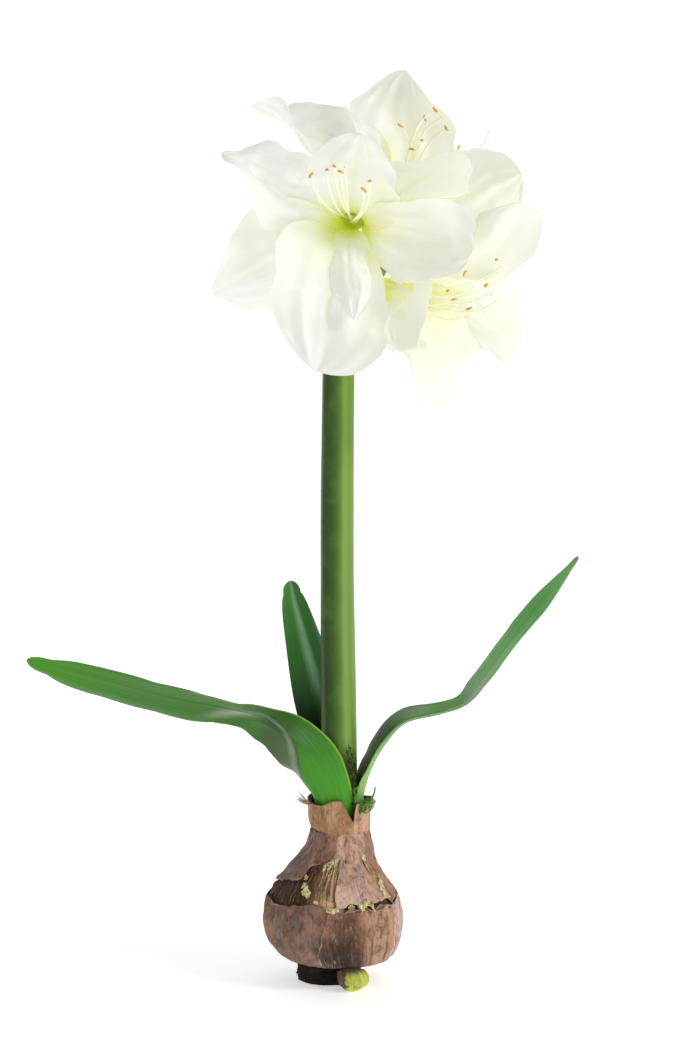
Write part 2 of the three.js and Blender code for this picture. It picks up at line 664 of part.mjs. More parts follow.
function stamensSolid(name) {
  const bloom = BLOOMS[name];
  const { foot, axis, up, right } = bloomFrame(bloom);
  const { radius, anther, rootRadius, rootHeight, steps } = STAMEN;
  const rootFrom = CUP_FLOOR.thickness + FIT_GAP;
  const pieces = [footDisc(bloom, rootRadius, rootFrom, rootHeight, 8)];
  const tips = [...bloom.stamens, bloom.stigma];
  tips.forEach((values, k) => {
    const tip = vector(values);
    const turn = (2 * Math.PI * k) / (tips.length - 1);
    const spreadFrom = k === tips.length - 1 ? 0 : rootRadius * 0.6;
    const rootPoint = addScaled(
      foot,
      [axis, rootFrom + rootHeight / 2],
      [up, spreadFrom * Math.cos(turn)],
      [right, spreadFrom * Math.sin(turn)],
    );
    const filament = filamentCurve(name, rootPoint, tip);
    pieces.push(thread(filament, radius, steps));
    const head = new THREE.SphereGeometry(1, 5, 3);
    const size = k === tips.length - 1 ? [1.5, 1.5, 1.1] : anther;
    head.scale(...size);
    head.rotateX(0.9 * k);
    head.rotateZ(1.7 * k);
    pieces.push(head.translate(...filament.getPoint(1).toArray()));
  });
  return fuse(pieces);
}

function pedicelGeometry(name) {
  const { foot, axis } = bloomFrame(BLOOMS[name]);
  const [[startX, startY], ...bends] = PEDICELS[name];
  const { radius, ovary, neck, ovaryLength, rows, sides } = PEDICEL;
  const base = vector([startX, startY, SCAPE.line.at(-1)[2] + FIT_GAP]);
  const end = addScaled(foot, [axis, -FIT_GAP]);
  const line = smoothLine([
    base,
    base.clone().add(vector([0, 0, 4])),
    ...bends.map(vector),
    addScaled(end, [axis, -ovaryLength]),
    addScaled(end, [axis, -ovaryLength / 2]),
    end,
  ]);
  const length = line.getLength();
  return stalk(line, rows, sides, (u) => {
    const toEnd = (length * (1 - u)) / ovaryLength;
    const swell = 1 - smoothstep(toEnd, 0.7, 1.5);
    return lerp(radius, lerp(neck, ovary, smoothstep(toEnd, 0, 0.5)), swell);
  });
}

// A withered bract: it leaves the top edge of the scape, bends over and hangs beside it.
function bractGeometry({ angle, reach, drop }) {
  const { width, thickness, top, rise, rows, columns } = BRACT;
  const turn = degToRad(angle);
  const out = vector([Math.cos(turn), Math.sin(turn), 0]);
  const side = vector([-Math.sin(turn), Math.cos(turn), 0]);
  const [topX, topY, , topRadius] = SCAPE.line.at(-1);
  const hug = topRadius + 2 * FIT_GAP + thickness / 2;
  const centre = vector([topX, topY, 0]);
  const line = smoothLine([
    addScaled(centre, [out, hug + 0.1]).setZ(top - 18),
    addScaled(centre, [out, hug + 0.1]).setZ(top - 10),
    addScaled(centre, [out, hug + 2]).setZ(top - 3),
    addScaled(centre, [out, hug + reach * 0.45]).setZ(top - 18 + rise),
    addScaled(centre, [out, hug + reach * 0.7]).setZ(top - drop * 0.75),
    addScaled(centre, [out, hug + reach * 0.6]).setZ(top - 6 - drop),
  ]);
  return sheet(rows, columns, (s, t) => {
    const half = Math.max(0.8, (width / 2) * (1 - smoothstep(s, 0.35, 1)) + 0.5);
    const bend = 1 / lerp(hug, 3 * hug, smoothstep(s, 0.2, 0.6));
    const offset = [side, Math.sin(bend * half * t) / bend];
    return addScaled(line.getPoint(s), offset, [out, (Math.cos(bend * half * t) - 1) / bend]);
  }, () => thickness);
}

// ---- moss ---------------------------------------------------------------------------------

// Fine threads that sprout from between the stem and the leaf bases.
function mossSolid() {
  const { angle, radius, core, coreTop, threads, threadRadius, steps } = MOSS;
  const [stemX, stemY, floor] = SCAPE.line[0];
  const around = (degrees, distance, height) => vector([
    stemX + distance * Math.cos(degToRad(degrees)),
    stemY + distance * Math.sin(degToRad(degrees)),
    height,
  ]);
  const height = coreTop - floor;
  const post = new THREE.CylinderGeometry(core, core, height, 6);
  post.rotateX(Math.PI / 2);
  post.translate(...around(angle, radius, floor + height / 2).toArray());
  const pieces = [post];
  for (let k = 0; k < threads; k += 1) {
    const share = k / (threads - 1);
    const wobble = Math.sin(2.4 * k);
    const start = lerp(112, coreTop - 2, share);
    const hangsOver = k % 3 === 2;
    const points = hangsOver
      ? [
        around(angle, radius, start),
        around(angle - 2, radius + 3, 131 + wobble),
        around(angle + 2 + 2 * wobble, radius + 8, 135 + 2 * wobble),
        around(angle + 11 + 3 * wobble, radius + 13, 132 + 3 * wobble),
        around(angle + 8 + 3 * wobble, radius + 13.5, 126 + 2 * wobble),
      ]
      : [
        around(angle, radius, start),
        around(angle - 1 + 2 * wobble, radius - 0.4, lerp(130, 136, share)),
        around(angle - 5 + 3 * wobble, radius - 1.3, lerp(138, 148, share)),
        around(angle - 5 + 6 * wobble, radius - 1.3 + 0.5 * share, lerp(144, 162, share)),
        around(angle - 6 + 12 * wobble, radius - 1 + share, lerp(148, 172, share)),
      ];
    pieces.push(thread(smoothLine(points), threadRadius, steps));
  }
  return fuse(pieces);
}

// ---- the plant ----------------------------------------------------------------------------

const plant = new THREE.Group();

function place(name, shape, look) {
  const geometry = shape.isBufferGeometry ? shape : toGeometry(shape);
  const mesh = new THREE.Mesh(geometry, finish(...look));
  mesh.name = name;
  plant.add(mesh);
}

place('basal_plate', plateGeometry(), COLOURS.rootPlate);
place('bulb', bulbGeometry(), COLOURS.tunic);
place('offset_bulblet', bulbletSolid(), COLOURS.bulblet);
place('scape', scapeGeometry(), COLOURS.scape);
for (const [name, stations] of Object.entries(LEAVES)) {
  const look = name === 'back' ? COLOURS.leafDark : COLOURS.leaf;
  place(`leaf_${name}`, leafGeometry(stations, LEAF_SHEET.rows[name], LEAF_WAVE[name]), look);
}
place('moss_tuft', mossSolid(), COLOURS.moss);
for (const [name, bract] of Object.entries(BRACTS)) {
  place(`bract_${name}`, bractGeometry(bract), COLOURS.bract);
}
for (const name of Object.keys(BLOOMS)) {
  place(`pedicel_${name}`, pedicelGeometry(name), COLOURS.pedicel);
  place(`bloom_${name}`, bloomSolid(name), COLOURS.tepal);
  place(`stamens_${name}`, stamensSolid(name), COLOURS.stamen);
}

export default plant;
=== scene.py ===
"""An amaryllis (Hippeastrum) in flower on its bare bulb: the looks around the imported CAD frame.

Lengths are millimetres until a mesh is made. +Z is up, -Y is the front, and the origin is on the floor
under the bulb's axis. Every sheet has two numbers over it: s runs 0..1 along it and t runs -1..1 across.
"""

import math

import bpy
import numpy as np
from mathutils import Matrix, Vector


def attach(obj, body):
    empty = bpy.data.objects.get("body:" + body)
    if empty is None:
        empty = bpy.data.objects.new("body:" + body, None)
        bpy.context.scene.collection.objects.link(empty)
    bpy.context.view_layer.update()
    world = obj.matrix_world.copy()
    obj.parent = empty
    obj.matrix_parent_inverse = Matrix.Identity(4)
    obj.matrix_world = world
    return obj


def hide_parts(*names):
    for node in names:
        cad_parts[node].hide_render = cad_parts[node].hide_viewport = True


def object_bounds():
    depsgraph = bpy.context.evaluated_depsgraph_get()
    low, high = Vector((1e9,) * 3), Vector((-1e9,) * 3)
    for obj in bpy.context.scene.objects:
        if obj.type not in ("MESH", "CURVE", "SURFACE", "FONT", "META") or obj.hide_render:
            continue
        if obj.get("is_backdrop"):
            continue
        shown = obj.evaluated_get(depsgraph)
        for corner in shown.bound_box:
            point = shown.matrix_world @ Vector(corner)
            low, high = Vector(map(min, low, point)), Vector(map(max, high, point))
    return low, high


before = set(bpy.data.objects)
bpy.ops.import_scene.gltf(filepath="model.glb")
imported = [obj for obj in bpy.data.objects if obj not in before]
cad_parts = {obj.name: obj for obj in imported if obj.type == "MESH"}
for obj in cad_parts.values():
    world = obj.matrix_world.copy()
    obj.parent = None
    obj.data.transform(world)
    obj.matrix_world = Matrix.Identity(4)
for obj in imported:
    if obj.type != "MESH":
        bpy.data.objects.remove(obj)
BOX_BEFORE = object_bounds()

MM = 0.001
SEED = 20260
SHARP_ANGLE = 50

# ---- dimensions, most of them shared with the CAD model -----------------------------------------

FIT_GAP = 0.3

PLATE = dict(x=-4, radius=22.5, height=13.7, waist=0.95)
ROOT_STUBS = 26

# radius, height and sideways lean of the bulb's outline, from the underside up to the rim of the neck
BULB_OUTLINE = [
    (23, 14, 1.5), (36.3, 17.5, 2.6), (42, 24.5, 1), (45.4, 31.5, -0.5), (46.8, 42, -1.2), (45.8, 52.5, -1),
    (42.6, 63, -1.2), (36.6, 71.5, -1), (29.4, 80.5, 0.4), (26, 89, 2), (23.8, 98, 3.2), (21.4, 108.5, 3.6),
    (19.8, 118, 3.6), (21.4, 128, 3.6),
]
RIBS = dict(count=9, depth=0.9)
POCKET = dict(radius=17.6, rim=19.2, floor=102)
RIM = dict(ripple=1.8, notch_angle=-64, notch_left=20, notch_right=7, notch_depth=13)
NECK_FROM, NECK_TO = 108.5, 128

# radius, height and how far each ring stands off to the right and to the back
BULBLET_OUTLINE = [
    (5.5, 0, 0, 0), (9.4, 3, 0.4, 0.6), (11, 7.5, 0.2, 0.4), (10.2, 12.5, -1, -0.4), (6.6, 17, -2.6, -1.4),
    (2, 19.6, -3.4, -2),
]
BULBLET_AT = (12.8, -31)
UNDER_SKINS = 3.2

# middle line of the scape from the pocket's floor to the top, with the radius at each point
SCAPE_LINE = [
    (3.5, 0, 102.3, 12.7), (3.4, 0, 170, 12.5), (2.4, 0, 260, 11.9), (2.2, 0, 350, 11.4), (3.5, 0, 474, 11),
]

# Each station of a leaf: x, y, z, width, roll, curl (1/radius), crease place, crease angle.
LEAVES = {
    "left": [
        (-2.6, -13.8, 102.3, 33.5, 25, -1 / 15.3, 1, 0), (-2.6, -13.8, 117, 34.5, 25, -1 / 15.3, 1, 0),
        (-6, -16, 136, 38, 24, -1 / 19, 0.9, 10), (-14, -19.5, 154, 42, 4, -1 / 40, 0.4, 36),
        (-25, -23, 170, 40, -34, 0, 0.35, 58), (-36.5, -27, 182, 39, -60, 0, 0.33, 62),
        (-50, -31, 190, 36, -75, 0, 0.33, 50), (-65, -35, 195, 32, -84, 0, 0.3, 24),
        (-82, -39, 199, 31, -70, 0, 0.2, 16), (-98.5, -43, 202.5, 32, -58, 0, 0.1, 12),
        (-125, -47, 209.5, 30, -60, 0, 0, 10), (-152, -51, 217.5, 27, -60, 0, 0, 8),
        (-182, -54, 226, 22, -54, 0, 0, 8), (-208, -55, 234, 3, -46, 0, 0, 6),
    ],
    "right": [
        (18.8, -0.6, 102.3, 20, 88, 1 / 15.3, 0, -2), (18.8, -0.6, 117, 20.5, 88, 1 / 15.3, 0, -2),
        (20.6, -1.2, 134.5, 24, 86, 1 / 20, 0, -20), (26, -2, 152, 29, 82, 0, 0, -40),
        (36, -3, 169.5, 30, 82, 0, 0, -46), (50, -4, 184, 30, 82, 0, 0, -42),
        (74, -6, 190.5, 30, 83, 0, 0, -34), (91, -8, 197, 29, 83, 0, 0, -28),
        (102.5, -9, 211, 28, 76, 0, 0, -26), (123, -12, 240, 26, 70, 0, 0, -22),
        (143.5, -14, 267, 22, 64, 0, 0, -18), (169.5, -16, 301, 3, 60, 0, 0, -10),
    ],
    "back": [
        (2.2, 15.1, 102.3, 26, 0, 1 / 15.2, 0, 0), (2.2, 15.1, 115, 26.5, 0, 1 / 15.2, 0, 0),
        (1.4, 16.4, 132, 30, 0, 1 / 18, 0, -8), (-4.5, 20, 170, 36, 0, 1 / 40, 0, -16),
        (-12.5, 23, 202, 35, 4, 0, 0, -20), (-22, 26, 238, 26, 8, 0, 0, -18),
        (-29, 28, 266, 17, 10, 0, 0, -14), (-31.5, 29, 280, 3, 10, 0, 0, -8),
    ],
}
# the rows of its grid, how much its edges wave, and from where its tip is blunt
LEAF_FORM = {"left": (200, 2.2, 0.955), "right": (170, 0.8, 0.985), "back": (110, 0.4, 0.9)}
LEAF_COLUMNS = 60
LEAF_THICK, LEAF_EDGE = 2.0, 0.8
CREASE_SOFTNESS = 4

# how far the two whorls start from the bloom's axis, and the angle and width of the tube they make
TEPAL = dict(from_axis=(5.8, 7.4), tube_angle=8, tube_share=0.6)
TEPAL_TIP, MIDRIB_DEPTH, MIDRIB_WIDTH = 0.6, 0.8, 3.5
TEPAL_ROWS, TEPAL_COLUMNS = 76, 44
# the bites in a tepal's edges, from coarse to fine: share of its half width, how many, shift of the noise
NIBBLES = ((0.12, 6, 1.5), (0.07, 13, 1.5), (0.03, 34, 4.5))
CUP_RADIUS, CUP_THICK = 8, 2.2
# shares of a disc's radius and of its thickness, round its rim
DISC_PROFILE = [(0.86, 0), (0.97, 0.12), (1, 0.5), (0.97, 0.88), (0.86, 1)]

# Each bloom: foot of the tube, axis, stamen tips and stigma, and six tepals as azimuth, length, width,
# spread, curl, twist half way, twist at the tip, cup, roll of the edges, wave of the edges and its phase,
# sway to the side, how the blade widens, how it narrows, and how far it is set inwards.
BLOOMS = {
    "front": dict(
        foot=(14, -14, 534), axis=(-0.12, -0.96, -0.22),
        tepals=[
            (7, 100, 76, 56, -4, 1, 24, 0.5, 4, 6, 0.3, 8, 0.56, 0.68, 3.2),
            (97, 109, 62, 65, 10, -11, 35, 0.8, 2, 3.5, 1, 1, 0.9, 0.32, 0),
            (180, 101, 33, 31, 20, 7, 17, -0.95, 1, 1.5, 2, -8, 0.6, 0.6, 4),
            (206, 130, 90, 42, 22, 16, -4, 0.3, 4, 3.5, 0, -23, 0.9, 0.6, 1.8),
            (248, 122, 81, 79, -1, 14, 35, 0.1, 3, 2.5, 4, -4, 1.03, 0.88, 0),
            (304, 120, 58, 66, 16, -19, -85, 0.2, 3, 4, 5, -1, 0.85, 0.46, 2.4),
        ],
        stamens=[
            (-14, -96, 557), (1, -103, 562), (5, -98, 559), (24, -97, 553), (20, -90, 548), (-4, -100, 560),
        ],
        stigma=(8, -110, 561),
    ),
    "right": dict(
        foot=(28, -16, 487), axis=(0.72, -0.66, -0.2),
        tepals=[
            (11, 134, 102, 70, 41, 16, 20, 0.64, 2, 3, 0, 23, 1.1, 0.66, 1.8),
            (74, 103, 68, 51, 26, -44, 6, 0.4, 2, 2, 1, 27, 0.85, 0.25, 0),
            (144, 82, 63, 58, 17, 21, -6, 0.4, 2, 2, 2, -30, 1.05, 0.54, 1.6),
            (208, 84, 104, 52, 6, -23, 8, 0.57, 2, 2.5, 3, -24, 0.66, 0.61, 3),
            (266, 76, 68, 42, -8, 14, -14, 0.45, 2, 2, 4, 0, 0.78, 0.4, 0),
            (304, 58, 50, 66, 8, -12, 0, 0.4, 1, 1.5, 5, 4, 0.8, 0.45, 1.6),
        ],
        stamens=[
            (108, -75, 503), (87, -80, 494), (76, -71, 483), (80, -74, 477), (90, -74, 471), (101, -82, 486),
        ],
        stigma=(104, -90, 480),
    ),
    "top": dict(
        foot=(42, 6, 526), axis=(0.2, -0.16, 0.96),
        tepals=[
            (328, 115, 94, 33, -45, -3, 60, 0.8, 2, 3.5, 0, 5, 0.58, 0.76, 1.8),
            (32, 66, 48, 30, 14, 0, 0, 0.5, 2, 2, 1, 0, 0.78, 0.52, 0),
            (120, 62, 48, 60, 10, 0, 0, 0.4, 2, 2, 2, 0, 0.78, 0.52, 1.8),
            (179, 87, 73, 66, -29, 18, -37, 0.51, 1, 2, 3, -26, 0.4, 0.59, 0),
            (228, 80, 54, 70, 10, 0, 0, 0.4, 2, 2, 4, 0, 0.78, 0.52, 1.8),
            (271, 138, 62, 81, -12, 55, -17, 0.93, 3, 4, 5, 1, 0.81, 0.42, 0),
        ],
        stamens=[
            (70, -6, 609), (77, -20, 595), (53, -30, 580), (63, 0, 604), (46, -8, 598), (60, -28, 586),
        ],
        stigma=(74, -14, 603),
    ),
    "back": dict(
        foot=(32, 20, 522), axis=(0.55, 0.7, 0.36),
        tepals=[
            (0, 108, 60, 50, 15, 0, 0, 0.4, 2, 2, 0, 0, 0.8, 0.9, 1.8),
            (60, 112, 60, 55, 20, 0, 0, 0.4, 2, 2, 1, 0, 0.8, 0.9, 0),
            (120, 118, 66, 60, 30, 0, 0, 0.4, 2, 2, 2, 0, 0.8, 0.9, 1.8),
            (180, 110, 60, 60, 30, 0, 0, 0.4, 2, 2, 3, 0, 0.8, 0.9, 0),
            (232, 105, 60, 50, 15, 0, 0, 0.4, 2, 2, 4, 0, 0.8, 0.9, 1.8),
            (280, 110, 75, 57, -6, 3, -3, 0.4, 2, 2, 5, 6, 0.7, 0.49, 0),
        ],
        stamens=[
            (70, 100, 604), (90, 70, 590), (98, 82, 582), (84, 92, 580), (106, 85, 579), (94, 97, 574),
        ],
        stigma=(112, 85, 603),
    ),
}

# Where two blooms press against each other: near bloom, far bloom, a point between them, normal.
PARTINGS = [
    ("front", "right", (60, -50, 492.5), (0.45, 0.72, -0.53)),
    ("front", "top", (36, -38, 562), (0.25, 0.8, 0.55)),
    ("front", "back", (5, 6, 540), (0.1, 0.97, 0.2)),
    ("right", "top", (90, -30, 545), (0, 0.55, 0.83)),
    ("right", "back", (70, 0, 510), (0.1, 0.92, 0.4)),
    ("top", "back", (52, 30, 556), (0.25, 0.85, -0.45)),
]
PARTING_CLEAR, PARTING_REACH, PARTING_PASSES, PARTING_LAYER = 0.9, 12, 2, 1.2

STAMEN_ROOT_RADIUS, STAMEN_ROOT_HEIGHT, FILAMENT_KNOTS = 3.4, 2, 6
FILAMENT_RADII, FILAMENT_POINTS = (0.95, 0.55), 44
ANTHER_LENGTH, ANTHER_RADIUS = 4.8, 0.98

# Stalk of each bloom: where it leaves the scape, and the points it bends through on its way up.
PEDICELS = {
    "front": [(-2.4, -1), (-3.5, 2, 500), (1, 9, 526), (10.5, 9, 538.5)],
    "right": [(6.5, -5.2), (9.5, -5.5, 483)],
    "top": [(9.1, 2.05), (22, 4.5, 486), (35, 8.5, 501)],
    "back": [(2.5, 5.9), (5, 6, 499), (14, 2, 511.5)],
}
PEDICEL = dict(radius=3.2, ovary=6.2, neck=5.4, ovary_length=16)

BRACTS = {"front": dict(angle=-95, reach=13, drop=34), "back": dict(angle=95, reach=15, drop=38)}
BRACT = dict(width=17, thickness=0.8, top=479, rise=7)

MOSS = dict(angle=-45.5, radius=15.4, core=0.7, core_top=128)
SPRIGS, SPRIG_TOPS, SPRIG_RADIUS, SPRIG_LEAFLETS = 64, (128, 170), 0.42, 30
TENDRIL_RADIUS, TENDRIL_LEAFLETS = 0.55, 9


# ---- numbers and curves -------------------------------------------------------------------------

def smooth(x, low, high):
    """0 below low, 1 above high, eased between."""
    x = np.clip((np.asarray(x, float) - low) / (high - low), 0, 1)
    return x * x * (3 - 2 * x)


def lerp(a, b, share):
    return a + (b - a) * share


def unit(vectors):
    vectors = np.asarray(vectors, float)
    return vectors / np.maximum(np.linalg.norm(vectors, axis=-1, keepdims=True), 1e-12)


def even(count):
    """Numbers from 0 to 1, evenly spread."""
    return np.linspace(0, 1, count)


def spline(points, u, clamped=False):
    """Catmull-Rom line at u in 0..1, spread evenly over the points. clamped repeats the end points."""
    points = np.asarray(points, float).reshape(len(points), -1)
    before, after = 2 * points[0] - points[1], 2 * points[-1] - points[-2]
    if clamped:
        before, after = points[0], points[-1]
    knots = np.vstack([before, points, after])
    place = np.clip(np.atleast_1d(u), 0, 1) * (len(points) - 1)
    first = np.minimum(place.astype(int), len(points) - 2)
    w = (place - first)[:, None]
    p0, p1, p2, p3 = (knots[first + k] for k in range(4))
    v1, v2 = (p2 - p0) / 2, (p3 - p1) / 2
    return (2 * p1 - 2 * p2 + v1 + v2) * w**3 + (3 * p2 - 3 * p1 - 2 * v1 - v2) * w**2 + v1 * w + p1


def over_sheet(rows, columns):
    """s down the rows and t across the columns of a sheet's grid."""
    return even(rows + 1)[:, None], np.linspace(-1, 1, columns + 1)[None, :]


def polar(x, y, degrees, distance, height):
    """A point at an angle and a distance from the upright line at x and y."""
    angle = math.radians(degrees)
    return (x + distance * math.cos(angle), y + distance * math.sin(angle), height)


def full_turn(sides):
    """Angles once round, evenly spread."""
    return np.linspace(0, 2 * np.pi, sides, endpoint=False)


def column(rows, number, u):
    """One column of a table, as a smooth line at u."""
    return spline([row[number] for row in rows], u, clamped=True)[:, 0]


def noise(x, y, seed, wrap=64):
    """Smooth noise in -1..1 with cells of size 1; x repeats after wrap cells."""
    table = np.random.default_rng(SEED + seed).uniform(-1, 1, (wrap, 64))
    x, y = np.broadcast_arrays(np.asarray(x, float), np.asarray(y, float))
    i, j = np.floor(x).astype(int), np.floor(y).astype(int)
    fx, fy = smooth(x - i, 0, 1), smooth(y - j, 0, 1)
    corner = lambda a, b: table[(i + a) % wrap, (j + b) % 64]
    return lerp(lerp(corner(0, 0), corner(1, 0), fx), lerp(corner(0, 1), corner(1, 1), fx), fy)


def rough(x, y, seed, wrap=64, octaves=3):
    """Noise with finer noise on top."""
    return sum(noise(x * 2**k, y * 2**k, seed + k, wrap * 2**k) / 2**k for k in range(octaves))


# ---- meshes -------------------------------------------------------------------------------------

def sheet(grid, thickness, s=None, t=None, mark=None):
    """A closed thin sheet about a grid of middle points, as (points, faces, place).

    place holds s, t and mark at each point. mark is 1 and -1 on the two faces unless it is given.
    """
    rows, columns = grid.shape[0] - 1, grid.shape[1] - 1
    normal = unit(np.cross(np.gradient(grid, axis=0), np.gradient(grid, axis=1)))
    half = normal * (np.broadcast_to(thickness, grid.shape[:2]) / 2)[..., None]
    points = np.concatenate([(grid + half).reshape(-1, 3), (grid - half).reshape(-1, 3)])
    if s is None:
        s, t = over_sheet(rows, columns)
    marks = (1.0, -1.0) if mark is None else (mark, mark)
    place = np.concatenate([np.stack(np.broadcast_arrays(s, t, own), -1).reshape(-1, 3) for own in marks])
    index = np.arange((rows + 1) * (columns + 1)).reshape(rows + 1, columns + 1)
    a, b, c, d = (part.ravel() for part in (index[:-1, :-1], index[1:, :-1], index[1:, 1:], index[:-1, 1:]))
    layer = index.size
    rim = np.concatenate([index[:-1, 0], index[-1, :-1], index[:0:-1, -1], index[0, :0:-1]])
    after = np.roll(rim, -1)
    faces = np.concatenate([
        np.stack([a, b, c, d], 1),
        np.stack([d, c, b, a], 1) + layer,
        np.stack([after, rim, rim + layer, after + layer], 1),
    ])
    return points, faces.tolist(), place


def loft(rings, s=None):
    """A closed solid through rings of points, each right-handed about the way it runs."""
    count, sides = rings.shape[:2]
    points = np.concatenate([rings.reshape(-1, 3), rings[:1].mean(1), rings[-1:].mean(1)])
    index = np.arange(count * sides).reshape(count, sides)
    nearer, further = index[:-1], index[1:]
    quads = np.stack([nearer, np.roll(nearer, -1, 1), np.roll(further, -1, 1), further], 2).reshape(-1, 4)
    first, last = count * sides, count * sides + 1
    caps = [[first, b, a] for a, b in zip(index[0], np.roll(index[0], -1))]
    caps += [[last, a, b] for a, b in zip(index[-1], np.roll(index[-1], -1))]
    s = even(count) if s is None else s
    turn = np.linspace(0, 1, sides, endpoint=False)
    place = np.stack([np.repeat(s, sides), np.tile(turn, count), np.zeros(count * sides)], 1)
    place = np.concatenate([place, [[s[0], 0.5, 0], [s[-1], 0.5, 0]]])
    return points, quads.tolist() + caps, place


def frames_along(line):
    """Two directions square to a line at each of its points, without twist."""
    ways = unit(np.gradient(line, axis=0))
    first = np.cross(ways[0], (0, 0, 1) if abs(ways[0][2]) < 0.9 else (1, 0, 0))
    firsts = [unit(first)]
    for way in ways[1:]:
        firsts.append(unit(firsts[-1] - way * (firsts[-1] @ way)))
    firsts = np.array(firsts)
    return firsts, np.cross(ways, firsts)


def tube(line, radii, sides=10, lobes=0, lobe_depth=0.0):
    """A round stalk along a line of points, or a lobed one. radii and lobe_depth may change along it."""
    first, second = frames_along(line)
    turn = full_turn(sides)[None, :, None]
    reach = np.reshape(radii, (-1, 1, 1)) * (1 + np.reshape(lobe_depth, (-1, 1, 1)) * np.cos(lobes * turn))
    return loft(line[:, None] + reach * (np.cos(turn) * first[:, None] + np.sin(turn) * second[:, None]))


def make(name, shapes, materials, nodes):
    """One piece from (shape, material number) pairs: it rides on the body and stands for CAD nodes."""
    points, faces, place, numbers = [], [], [], []
    count = 0
    for (own_points, own_faces, own_place), number in shapes:
        points.append(own_points)
        place.append(own_place)
        faces += [[corner + count for corner in face] for face in own_faces]
        numbers += [number] * len(own_faces)
        count += len(own_points)
    mesh = bpy.data.meshes.new(name)
    mesh.from_pydata(np.concatenate(points) * MM, [], faces)
    mesh.polygons.foreach_set("material_index", numbers)
    mesh.polygons.foreach_set("use_smooth", [True] * len(faces))
    where = mesh.attributes.new("place", "FLOAT_VECTOR", "POINT")
    where.data.foreach_set("vector", np.concatenate(place).astype(np.float32).ravel())
    mesh.set_sharp_from_angle(angle=math.radians(SHARP_ANGLE))
    for material in materials:
        mesh.materials.append(material)
    piece = bpy.data.objects.new(name, mesh)
    bpy.context.scene.collection.objects.link(piece)
    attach(piece, "root")
    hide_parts(*nodes)
    return piece


# ---- materials ----------------------------------------------------------------------------------

def rgb(code):
    """Linear colour from a hex code."""
    values = [int(code[i:i + 2], 16) / 255 for i in (0, 2, 4)]
    return tuple(v / 12.92 if v <= 0.04045 else ((v + 0.055) / 1.055) ** 2.4 for v in values) + (1.0,)


